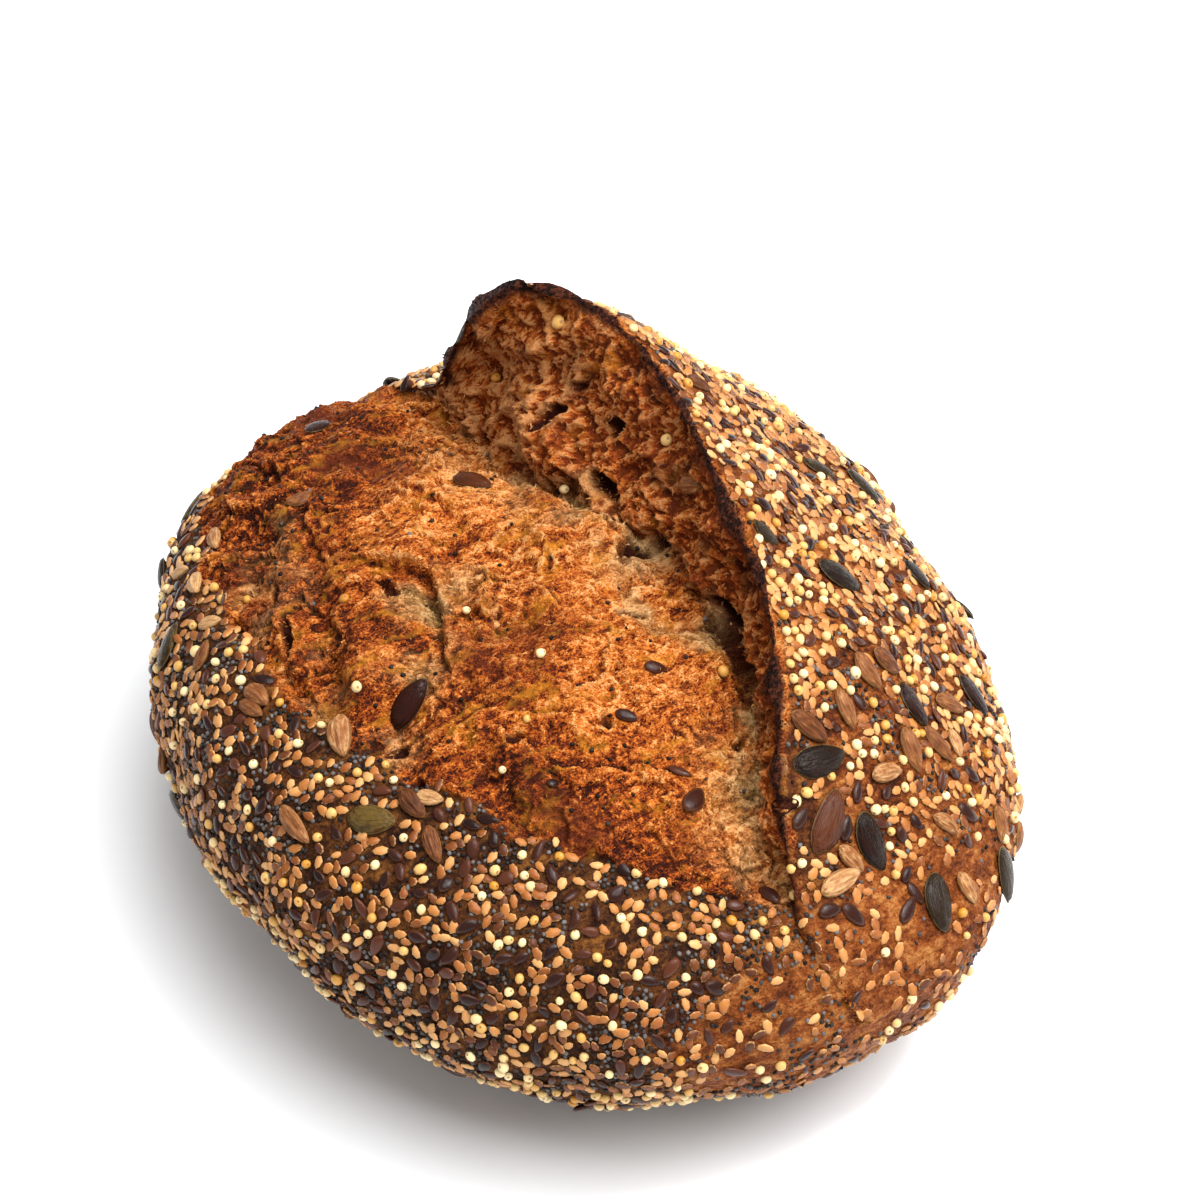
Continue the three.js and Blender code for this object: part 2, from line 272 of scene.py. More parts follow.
net = {
    "rows": 420,
    "columns": {"leftBase": 16, "leftDome": 250, "face": 88, "rightDome": 88, "rightBase": 16},
    # the first share of the left dome's columns covers the second share of its turn, and the rest is finer
    "bandShare": (0.2, 0.4),
    "evenness": 0.3,          # rows lie closer at the tips by this share
}
relief = {
    "dough": (34, 1.2), "crags": (15, 1.5),   # size and height of the two coarsest fields
    "creases": [  # from, to, depth, width
        ((-6, -28), (24, -62), 3.0, 6), ((-50, -50), (-8, -74), 2.0, 5),
        ((-32, -50), (6, -64), 1.6, 4), ((16, 1), (24, 3), 2.2, 4),
        ((-41, -59), (-29, -68), 1.5, 1.4), ((-29, -68), (-4, -75), 1.7, 1.5),
        ((-9, -67), (8, -67), 2.2, 1.4), ((-3, -59), (6, -60), 1.8, 1.1),
        ((3, -30), (11, -33), 1.6, 1.0), ((5, -25), (14, -29), 1.3, 1.0),
    ],
    "plates": [(10.0, 0.18), (4.6, 0.2)],    # torn sheets of crumb: size, and how steeply each leans
    "tears": (7.0, 0.85),
    "lumps": (3.2, 0.5),
    "fibres": (1.7, 0.42),
    "grain": (0.9, 0.24),
    "shift": (3.2, 0.5),      # sideways pull that makes small overhangs
    "faceCrags": (11.0, 3.4), # the ear's open face is rougher
    "faceLumps": (3.0, 1.5),
    "holes": (9.0, 2.4),      # spacing and depth of the gas holes
    "holeRadius": (0.04, 0.13, 0.03),   # the least, how much more, and the unevenness, in spacings
    "ragged": (18, 0.5, 0.6),  # how tearing varies: size, the least, and how much more
    "rim": 2.2,               # bare rough strip behind the crest
    # gaps under the ear: from and to x, depth, width, and the darkness of the painted shade in them
    "gaps": [(-46, -16, 2.4, 2.4, 0.25), (26, 44, 4.0, 2.2, 0.9)],
    "blisters": (4.5, 0.5),   # in the seeded crust
    "wrinkles": (6.0, 0.5), "crustGrain": (1.3, 0.14),
    "frontRidges": (3.4, 0.5), "frontBubbles": (1.9, 0.3),
    # the crest: calm at the back, and elsewhere ragged in waves and teeth
    "crestBack": (-50, -25), "crestCalm": (5, 0.75), "crestRagged": (2.4, 0.8),
    "crestWaves": (5, 0.5), "crestTeeth": (2.6, 0.7),
}
# torn edges that stand up, raised on their left: points along the edge, height, and how far they run out
sheets = [
    ([(-20, -37.5), (-12, -31), (-1, -34.5), (9, -38.5)], 2.4, 8),
    ([(-46, -14), (-38, -22), (-30, -20)], 1.2, 6),
    ([(20, -8), (13, -13), (9, -14)], 1.2, 5),
    ([(34, -30), (26, -40), (28, -50)], 1.2, 6),
    ([(-60, -30), (-52, -40), (-40, -44)], 1.1, 6),
    ([(52, -22), (44, -34), (34, -38)], 1.0, 6),
]
lobes = [   # lumps that hang out over the groove: x, z, half length, half height, how far
    (-34, 89, 13, 9, 4.0), (-1, 93, 9, 5.5, 3.0), (20, 93, 8, 5, 2.0), (-58, 100, 8, 9, 1.6),
]
caves = [   # gaps in the ear's face, dark from their depth and from painted shade: x, z, half length, half height, depth
    (-20, 99.5, 3.0, 2.6, 4.0), (-12.5, 91, 5.0, 2.0, 5.0), (4.5, 89, 1.9, 1.3, 3.5),
    (30, 88, 7.0, 2.2, 3.5), (-46, 84, 4.5, 2.0, 3.0), (12, 90, 3.0, 1.6, 3.0),
]
dents = [   # small pits in the bare front end, painted dark as shade: x, y, z, radius, depth
    (104, -1, 49.5, 1.8, 1.5), (104.5, 4, 47.5, 1.5, 1.4),
    (104.5, -3.5, 46.5, 1.0, 0.8), (102, -10, 60, 1.6, 0.9),
]
pits = [  # deep tears that catch the eye: x, y, half length, half width, turn in degrees, depth
    (-65, -9, 2.6, 1.3, 30, 3.0), (-58, -16, 2.2, 1.2, 20, 2.6), (23, -58, 2.2, 1.4, 70, 2.4),
    (19, 0, 3.2, 1.1, 80, 3.4), (3, 9, 3.0, 1.3, 60, 3.4), (-14, -40, 3.6, 1.2, 12, 2.2),
    (-30, -58, 4.5, 1.0, -20, 2.4), (-16, -62, 5.0, 1.1, -24, 2.6), (-34, 12, 3.0, 1.6, 60, 3.2),
]
# pale hollow under a torn flap
pocket = {"at": (-6, -38), "length": 9, "width": 6, "turn": 25, "depth": 3.2}
baking = {
    "wander": ((15, 5), (3.5, 2.4)),   # how the torn edge strays, slowly and quickly: size and how far
    # how pale the groove's floor and its creases, hollow and lobes are, and how much less at the back
    "paleFloor": 11, "paleCrease": 0.2, "paleHollow": 0.9, "paleLobe": -0.3, "paleBack": -0.55,
    # width of the burnt edge on the face, more at the back and front, and on the flap; the wider edge at the
    # front is partly painted shade on the face
    "burntEdge": 1.7, "burntBack": 2.5, "burntAndShadedFront": 1.8, "burntFlap": 1.1, "burntSpots": 0.55,
    # how brown the bloom is: everywhere, away from the groove, at the back, by the lip, at the low front, and
    # less brown at the groove's back as painted light in the ear's shade
    "toast": 0.14, "toastSide": 0.42, "toastBack": 1.25, "toastLip": 0.14, "toastLow": 0.5,
    "paintedLightInGroove": -0.9, "toastUneven": 0.8,
    # how brown the ear's face is: everywhere, towards the crest, and less brown at the back as painted light
    # in its shade
    "faceToast": 0.5, "faceHigh": 0.4, "paintedLightOnFaceBack": -1.15, "faceUneven": 1.35,
    "raisedToast": 0.5,       # what stands out browns sooner
    # below 0 the crumb turns lighter than any toast, as painted light
    "toastRange": (-0.35, 1),
}


def unevenness(p, size, shift):
    # the same slow waves as the solid has
    waves, goldenAngle = 6, 2.39996
    total = 0
    for k in range(waves):
        up = 1 - (2 * k + 1) / waves
        flat = math.sqrt(1 - up * up)
        turn = k * goldenAngle + shift
        along = p[..., 0] * math.cos(turn) * flat + p[..., 1] * math.sin(turn) * flat + p[..., 2] * up
        total = total + np.sin(2 * math.pi * along * (0.7 + 0.12 * k) / size + 5 * turn)
    return total / (0.5 * waves)


def gridNormals(p, tips):
    back, front = [tip[None, None].repeat(p.shape[1], 1) for tip in tips]
    rows = np.concatenate([back, p, front])
    along = rows[2:] - rows[:-2]
    around = np.roll(p, -1, 1) - np.roll(p, 1, 1)
    n = np.cross(along, around)
    return n / np.maximum(np.linalg.norm(n, axis=-1, keepdims=True), 1e-9)


def lipAt(x):
    s = (x - lip["x"]) / lip["halfLength"]
    front = oval(s, lip["frontRoundness"])
    back = oval(s, lip["backRoundness"])
    return -lip["depth"] * np.where(s > 0, front, back) + form["sideShift"]


def creaseAt(p):
    # how deep the named creases are at each point
    total = 0
    spot = np.stack([p[..., 0], p[..., 1] - form["sideShift"]], -1)
    for start, end, depth, width in relief["creases"]:
        a, b = np.array(start, float), np.array(end, float)
        t = np.clip(((spot - a) @ (b - a)) / ((b - a) @ (b - a)), 0, 1)
        away = np.linalg.norm(spot - (a + t[..., None] * (b - a)), axis=-1)
        total = total + depth * np.exp(-(away / width) ** 2)
    return total


def localSpot(p, x, y, turn):
    # a point's place across the top, from a named centre, turned
    a = math.radians(turn)
    u, v = p[..., 0] - x, p[..., 1] - form["sideShift"] - y
    return u * math.cos(a) + v * math.sin(a), v * math.cos(a) - u * math.sin(a)


def sheetsAt(p):
    # how far the named torn sheets lift the crumb: a steep edge, running out behind it
    ragged = [0.9 * noise(p, 3.6, n) for n in (151, 153)]
    u, v = p[..., 0] + ragged[0], p[..., 1] - form["sideShift"] + ragged[1]
    total = 0
    for corners, height, reach in sheets:
        nearest, signed = np.full(u.shape, 99.0), np.full(u.shape, 99.0)
        for (ax, ay), (bx, by) in zip(corners[:-1], corners[1:]):
            dx, dy = bx - ax, by - ay
            t = np.clip(((u - ax) * dx + (v - ay) * dy) / (dx * dx + dy * dy), 0, 1)
            gapX, gapY = u - ax - t * dx, v - ay - t * dy
            away = np.hypot(gapX, gapY)
            closer = away < nearest
            nearest = np.where(closer, away, nearest)
            signed = np.where(closer, away * np.sign(dx * gapY - dy * gapX), signed)
        onTop = ramp(signed, -0.5, 0.5)
        total = total + height * (onTop * np.exp(-(nearest / reach) ** 2)
                                  - 0.6 * (1 - onTop) * np.exp(-(nearest / (0.35 * reach)) ** 2))
    return total


def onFace(p, rows, reach=1.0):
    # 1 in the middle of each oval on the ear's face, with its own height or depth
    total = 0
    for x, z, halfLength, halfHeight, size in rows:
        up = (p[..., 2] - z) / halfHeight
        away = np.sqrt(((p[..., 0] - x) / halfLength) ** 2 + np.where(up < 0, 1.5 * up, up) ** 2)
        away = away + 0.45 * fractal(p, 3.2, 2, 155)
        total = total + size * (1 - ramp(away, reach * 0.55, reach * 1.15))
    return total


def dentsAt(p):
    total = 0
    for x, y, z, radius, depth in dents:
        away = np.linalg.norm(p - np.array([x, y, z]), axis=-1) / radius + 0.5 * noise(p, 2.2, 157)
        total = total + depth * (1 - ramp(away, 0.5, 1.4))
    return total


def tornPlates(p, size, lean, salt):
    # sheets torn loose: each leans its own way, so that its edge stands over the next
    _, name, way = nearestCell(p, size, salt)
    turn = (name * 2.6 + 0.4) * math.pi
    return lean * size * (way[..., 0] * np.cos(turn) + way[..., 1] * np.sin(turn))


def pitsAt(p):
    total = 0
    for x, y, halfLength, halfWidth, turn, depth in pits:
        u, v = localSpot(p, x, y, turn)
        away = np.sqrt((u / halfLength) ** 2 + (v / halfWidth) ** 2) + 0.3 * noise(p, 2.4, 141)
        total = total + depth * (1 - ramp(away, 0.6, 1.3))
    return total


def pocketAt(p):
    # 1 inside the pale pocket, with one steep edge and one that runs out
    u, v = localSpot(p, *pocket["at"], pocket["turn"])
    away = np.sqrt((u / pocket["length"]) ** 2 + (v / pocket["width"]) ** 2) + 0.3 * fractal(p, 5, 2, 143)
    return (1 - ramp(away, 0.7, 1.05)) * (0.35 + 0.65 * ramp(v / pocket["width"], -1.0, 0.6))


def loafGrid():
    t = np.linspace(-1, 1, net["rows"] + 2)[1:-1, None]
    s = (1 + net["evenness"]) * t - net["evenness"] * t ** 3
    section = Section(s)
    parts, zone, place = [], [], []
    for number, (name, count) in enumerate(net["columns"].items()):
        isDome = name.endswith("Dome")
        first = 1 if name in ("face", "rightBase") else 0
        turn = (np.arange(first, count) / (count - 1 if isDome else count))[None]
        if name == "leftDome":
            turn = np.interp(turn, [0, net["bandShare"][0], 1], [0, net["bandShare"][1], 1])
        y, z = getattr(section, name)(turn + 0 * s)
        parts.append(np.stack([section.x + 0 * y, y + section.lean, settle(z)], -1))
        zone += [number] * turn.size
        place += list(turn[0])
    tips = [np.array([e * form["halfLength"], form["sideShift"] + form["tipBend"] + e * form["tipLean"],
                      form["widestHeight"]]) for e in (-1, 1)]
    return np.concatenate(parts, 1), np.array(zone), np.array(place), tips, section


def blurred(field, times):
    for _ in range(times):
        field = (field + np.roll(field, 1, 1) + np.roll(field, -1, 1)) / 3
        field[1:-1] = (field[2:] + field[:-2] + field[1:-1]) / 3
    return field


class SmoothLoaf:
    # the loaf before its relief: a net of points, and where on the loaf each one lies
    def __init__(self):
        self.p, zone, place, self.tips, self.section = loafGrid()
        self.x, self.y = self.p[..., 0], self.p[..., 1]
        self.zone = zone[None] + 0 * self.x.astype(int)
        self.place = place[None] + 0 * self.x
        self.isBloom, self.isFace, self.isFlap = self.zone == 1, self.zone == 2, self.zone == 3
        self.slashDepth = ramp(self.section.rise, 1, 9) + 0 * self.y
        crest = self.p[:, [int(np.argmax(self.isFlap[0]))]]
        self.crestGap = np.linalg.norm(self.p - crest, axis=-1)
        self.grooveGap = np.abs(self.y - self.section.groove - self.section.lean)
        self.backGroove = ramp(-self.x, 30, 48) * (1 - ramp(self.grooveGap, 9, 24))
        self.overBase = np.clip((self.p[..., 2] - 3) / 12, 0, 1)


def tornArea(base):
    # 1 where the crumb is torn open, with a wandering edge
    p = base.p
    (slowSize, slow), (quickSize, quick) = baking["wander"]
    wander = slow * fractal(p, slowSize, 3, 11) + quick * noise(p, quickSize, 15)
    inBloom = ramp(base.y - lipAt(base.x) + wander, -0.8, 1.6) * base.isBloom
    rimGap = base.crestGap / relief["rim"] + 0.7 * noise(p, 5, 21)
    rim = base.isFlap * (1 - ramp(rimGap, 0.7, 1.2)) * base.slashDepth
    return np.clip(np.maximum(np.maximum(inBloom, base.isFace * base.slashDepth), rim), 0, 1)


def namedMarks(base):
    # the tears, lumps and pits that have their own places, each on the surface it belongs to
    p, isBloom, isFace = base.p, base.isBloom, base.isFace
    inEar = np.where(isFace, 1, 0.5 * isBloom * (1 - ramp(base.grooveGap, 3, 9))) * base.slashDepth
    return {
        "crease": creaseAt(p) * isBloom, "hollow": pocketAt(p) * isBloom, "sheet": sheetsAt(p) * isBloom,
        "pit": pitsAt(p) * (isBloom | isFace), "cave": onFace(p, caves) * inEar,
        "lobe": onFace(p, lobes) * isFace * base.slashDepth, "dent": dentsAt(p),
    }


def paleCrumb(base, marks):
    # soft crumb low in the groove and in the creases
    b = baking
    onFloor = np.exp(-(base.grooveGap / b["paleFloor"]) ** 2) * base.isBloom
    lowFace = base.isFace * (1 - ramp(base.place + 0.25 * noise(base.p, 7, 31), 0.02, 0.22))
    patchy = ramp(fractal(base.p, 10, 3, 33), -0.22, 0.3)
    pale = (onFloor + lowFace) * base.slashDepth * patchy + b["paleCrease"] * marks["crease"] * patchy
    pale = np.clip(pale + b["paleHollow"] * marks["hollow"] + b["paleLobe"] * marks["lobe"], 0, 1)
    return pale * (1 + b["paleBack"] * base.backGroove)


def burntCrumb(base):
    # a burnt edge along the crest, and spots on the ear's face
    b, p, x = baking, base.p, base.x
    wide = b["burntEdge"] + b["burntBack"] * (1 - ramp(x + 4 * noise(p, 9, 159), -50, -30))
    # towards the front the burnt edge also paints the ear face's shade
    wide = wide + b["burntAndShadedFront"] * ramp(x, 8, 30)
    edge = base.crestGap / np.where(base.isFace, wide, b["burntFlap"]) + 0.8 * fractal(p, 5, 3, 41)
    burnt = (1 - ramp(edge, 0.35, 1.5)) * base.slashDepth * (base.isFace | base.isFlap)
    spots = ramp(fractal(p, 12, 3, 43), 0.08, 0.32) * base.isFace * ramp(base.place, 0.15, 0.5)
    return np.clip(burnt + b["burntSpots"] * spots * base.slashDepth, 0, 1)


def toastedCrumb(base, fine):
    # how brown the crumb is, with painted light at the back of the groove and of the ear's face
    b, p, x, y = baking, base.p, base.x, base.y
    nearLip = 1 - ramp(y - lipAt(x), 2, 16)
    toast = b["toast"] + b["toastSide"] * ramp(base.grooveGap, 14, 56) + b["toastBack"] * ramp(-x, 30, 62)
    toast = toast + b["toastLip"] * nearLip + b["toastUneven"] * fractal(p, 22, 3, 45)
    toast = toast + (b["toastLow"] * ramp(x - y, 62, 92) + b["paintedLightInGroove"] * base.backGroove)
    face = b["faceToast"] + b["faceHigh"] * ramp(base.place, 0.3, 0.9) + b["paintedLightOnFaceBack"] * ramp(-x, 22, 40)
    toast = np.where(base.isFace, face + b["faceUneven"] * fractal(p, 16, 3, 47), toast)
    raised = blurred(fine, 3) - blurred(fine, 24)
    return np.clip(toast + b["raisedToast"] * raised, *b["toastRange"])


def holesIn(warp, p, marks):
    size, depth = relief["holes"]
    gap, name, _ = nearestCell(warp * np.array([1, 0.7, 1]), size, 81)
    least, more, uneven = relief["holeRadius"]
    radius = least + more * name ** 2 + uneven * noise(p, 2, 83)
    holes = depth * (0.4 + name) * (1 - ramp(gap, radius * 0.5, radius * 1.6)) * (name > 0.5)
    return holes + marks["pit"] + marks["cave"]


def tornRelief(base, warp, marks, holes):
    # ragged tearing: leaning plates, ridges, then fibres pulled across the slash
    p = base.p

    def ridges(key, places, octaves, salt, low, gain=0.55):
        # low is about the noise's middle, so that ridges don't swell the loaf
        size, high = relief[key]
        return high * (ridged(places, size, octaves, salt, gain) - low)

    plates = sum(tornPlates(warp, size, lean, 51 + 10 * k) for k, (size, lean) in enumerate(relief["plates"]))
    size, least, more = relief["ragged"]
    strength = least + more * ramp(noise(p, size, 85), -0.35, 0.4)
    size, high = relief["lumps"]
    lumps = high * (1.6 * np.abs(noise(warp, size, 69)) - 0.35)
    fibres = ridges("fibres", warp * np.array([1.25, 0.6, 1.0]), 2, 71, 0.35)
    grain = relief["grain"][1] * noise(p, relief["grain"][0], 75)
    tears = ridges("tears", warp, 3, 65, 0.3)
    onBloom = (plates + tears + lumps) * strength + marks["sheet"] + fibres + grain
    onBloom = onBloom - holes - pocket["depth"] * marks["hollow"]
    size, high = relief["faceLumps"]
    faceLumps = high * (1.7 * np.abs(fractal(warp, size, 3, 89, 0.65)) - 0.35)
    faceCrags = ridges("faceCrags", warp, 3, 87, 0.34, 0.5)
    onEar = (faceCrags + faceLumps + plates) * ramp(base.crestGap, 0.5, 8)
    onEar = onEar + marks["lobe"] + fibres + grain - 1.2 * holes
    return np.where(base.isFace, onEar, onBloom)


def crustRelief(p, bare, dent):
    # baked crust under the seeds: blistered, gently wrinkled, rougher on the bare front end
    size, high = relief["wrinkles"]
    grainSize, grainHigh = relief["crustGrain"]
    height = high * fractal(p, size, 3, 93) + grainHigh * noise(p, grainSize, 97)
    size, deep = relief["blisters"]
    blister, _, _ = nearestCell(p, size, 91)
    height = height - deep * (1 - ramp(blister, 0.06, 0.24))
    size, high = relief["frontRidges"]
    rough = high * (ridged(p, size, 2, 99) - 0.3)
    size, high = relief["frontBubbles"]
    bubble, _, _ = nearestCell(p, size, 161)
    height += bare * (rough + high * (1 - ramp(bubble, 0.1, 0.5))) - dent
    return height


def gapsUnderEar(base):
    # under the ear's foot: how deep the gaps are, and how much shade is painted in them
    ground = np.where(base.isBloom, base.grooveGap, 30)
    foot = np.where(base.isFace, base.place * 30, ground) + 1.2 * noise(base.p, 5, 165)
    depths, gapShades = [], []
    for start, end, depth, width, dark in relief["gaps"]:
        inGap = ramp(base.x + 3 * noise(base.p, 8, 167), start - 5, start + 6)
        inGap = inGap * (1 - ramp(base.x, end - 6, end + 8)) * np.exp(-(foot / width) ** 2)
        depths.append(depth * inGap)
        gapShades.append(inGap * dark)
    return depths, sum(gapShades)


def shapeLoaf():
    base = SmoothLoaf()
    p, crestGap = base.p, base.crestGap
    out = gridNormals(p, base.tips)
    torn, marks, bare = tornArea(base), namedMarks(base), bareCrust(base.p)
    height = relief["dough"][1] * unevenness(p, relief["dough"][0], 0)
    crags = torn * relief["crags"][1] * unevenness(p, relief["crags"][0], 1)
    height += crags - torn * marks["crease"] * 1.15

    warp = p + 1.5 * np.stack([fractal(p, 4.0, 2, n) for n in (61, 62, 63)], -1)
    holes = holesIn(warp, p, marks)
    fine = torn * tornRelief(base, warp, marks, holes) + (1 - torn) * crustRelief(p, bare, marks["dent"])

    atBack = 1 - ramp(base.x, *relief["crestBack"])
    width, calm = relief["crestCalm"]
    fine = fine * (1 - calm * atBack * np.exp(-(crestGap / width) ** 2))
    width, calm = relief["crestRagged"]
    ragged = np.exp(-(crestGap / width) ** 2) * base.slashDepth * (1 - calm * atBack)
    (waveSize, waves), (toothSize, teeth) = relief["crestWaves"], relief["crestTeeth"]
    teeth = teeth * (ridged(warp, toothSize, 2, 163) - 0.35)
    fine = fine + ragged * (waves * fractal(p, waveSize, 2, 101) + teeth)
    depths, shadeUnderEar = gapsUnderEar(base)
    for depth in depths:
        fine = fine - depth

    tipQuiet = ramp(form["halfLength"] - np.abs(base.x), 0.2, 4)
    height = (height + fine) * base.overBase * (0.25 + 0.75 * tipQuiet)
    size, pull = relief["shift"]
    sideways = pull * np.stack([fractal(p, size, 2, n) for n in (105, 107, 109)], -1)
    sideways = sideways * (torn * base.overBase * tipQuiet * ramp(crestGap, 0, 3))[..., None]
    shaped = p + out * height[..., None] + sideways
    shaped[..., 2] = np.maximum(shaped[..., 2], 0)

    masks = {
        "torn": torn, "pale": paleCrumb(base, marks), "burnt": burntCrumb(base),
        "face": base.isFace * base.slashDepth, "bare": bare, "toast": toastedCrumb(base, fine),
        # peak: how far the crumb stands above its surroundings, later painted lighter as highlight and darker
        # as shade where it sinks
        "peak": np.clip(0.5 + 1.1 * (fine - blurred(fine, 5)), 0, 1),
        # painted shade: holes, pits, caves, the gaps under the ear and the front pits are darkened in colour
        "holeShade": np.clip(torn * holes / 2.4 + shadeUnderEar + 0.8 * marks["dent"], 0, 1),
        "flap": ramp(base.y - base.section.lean + 4 * fractal(p, 14, 2, 111), -6, 14),
    }
    return base, shaped, masks


def bareCrust(p):
    # 1 on the front end, where few seeds hold
    towardsFront = p[..., 0] + 0.25 * p[..., 1] + 7 * noise(p, 12, 121)
    return ramp(towardsFront, 80, 97) * (1 - ramp(p[..., 2], 62, 78))


def quadsOf(rows, columns):
    i, j = np.meshgrid(np.arange(rows - 1), np.arange(columns), indexing="ij")
    k = (j + 1) % columns
    corners = [i * columns + j, (i + 1) * columns + j, (i + 1) * columns + k, i * columns + k]
    return np.stack(corners, -1).reshape(-1, 4)


def meshObject(name, points, polygons, attributes=None, smooth=True):
    # points in millimetres; polygons is a list of index arrays, each with corners of one count
    mesh = bpy.data.meshes.new(name)
    counts = np.concatenate([np.full(len(f), f.shape[1]) for f in polygons])
    corners = np.concatenate([f.ravel() for f in polygons]).astype(np.int32)
    mesh.vertices.add(len(points))
    mesh.vertices.foreach_set("co", (points * mm).astype(np.float32).ravel())
    mesh.loops.add(len(corners))
    mesh.loops.foreach_set("vertex_index", corners)
    mesh.polygons.add(len(counts))
    mesh.polygons.foreach_set("loop_start", np.concatenate([[0], np.cumsum(counts)[:-1]]).astype(np.int32))
    mesh.polygons.foreach_set("use_smooth", np.full(len(counts), smooth))
    for key, values in (attributes or {}).items():
        isVector = values.ndim == 2
        layer = mesh.attributes.new(key, "FLOAT_VECTOR" if isVector else "FLOAT", "POINT")
        layer.data.foreach_set("vector" if isVector else "value", values.astype(np.float32).ravel())
    mesh.update()
    mesh.validate()
    piece = bpy.data.objects.new(name, mesh)
    bpy.context.scene.collection.objects.link(piece)
    return piece


def finishPiece(piece, material, slotName):
    piece.data.materials.append(material)
    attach(piece, "root")
    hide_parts("loaf")


def makeLoaf(material):
    base, grid, masks = shapeLoaf()
    rows, columns = grid.shape[:2]
    points = np.concatenate([grid.reshape(-1, 3), base.tips])
    quads = quadsOf(rows, columns)
    j = np.arange(columns)
    back = np.stack([np.full(columns, rows * columns), j, (j + 1) % columns], -1)
    last = (rows - 1) * columns
    front = np.stack([np.full(columns, rows * columns + 1), last + (j + 1) % columns, last + j], -1)
    flat = {key: np.concatenate([value.ravel(), value[0, :1], value[-1, :1]]) for key, value in masks.items()}
    piece = meshObject("sourdoughLoaf", points, [quads, back, front], flat)
    finishPiece(piece, material, "crust")
    print("loaf made,", len(points), "points")
    return Crust(base, grid, masks, quads)


# materials

def linear(code):
    # an sRGB hex value as linear red, green, blue and alpha
    parts = [int(code[k:k + 2], 16) / 255 for k in (1, 3, 5)]
    return tuple(c / 12.92 if c <= 0.04045 else ((c + 0.055) / 1.055) ** 2.4 for c in parts) + (1.0,)


def perMetre(size):
    # a texture scale whose bumps are about size millimetres wide
    return 1000 / size


def addNode(tree, kind, inputs=None, stops=(), output=0, **settings):
    # adds a node with its settings and links, and returns the output to link on
    node = tree.nodes.new("ShaderNode" + kind)
    for name, value in settings.items():
        setattr(node, name, value)
    for socket, value in (inputs or {}).items():
        if isinstance(value, bpy.types.NodeSocket):
            tree.links.new(value, node.inputs[socket])
        elif value is not None:
            node.inputs[socket].default_value = value
    for k, (position, code) in enumerate(stops):
        elements = node.color_ramp.elements
        element = elements[k] if k < 2 else elements.new(position)
        element.position = position
        element.color = linear(code)
    return node.outputs[output] if node.outputs else None


def newMaterial(name):
    material = bpy.data.materials.new(name)
    material.use_nodes = True
    tree = material.node_tree
    tree.nodes.clear()
    return material, tree


mixFactor, mixFirst, mixSecond, mixResult = 0, 6, 7, 2   # sockets of a colour mix


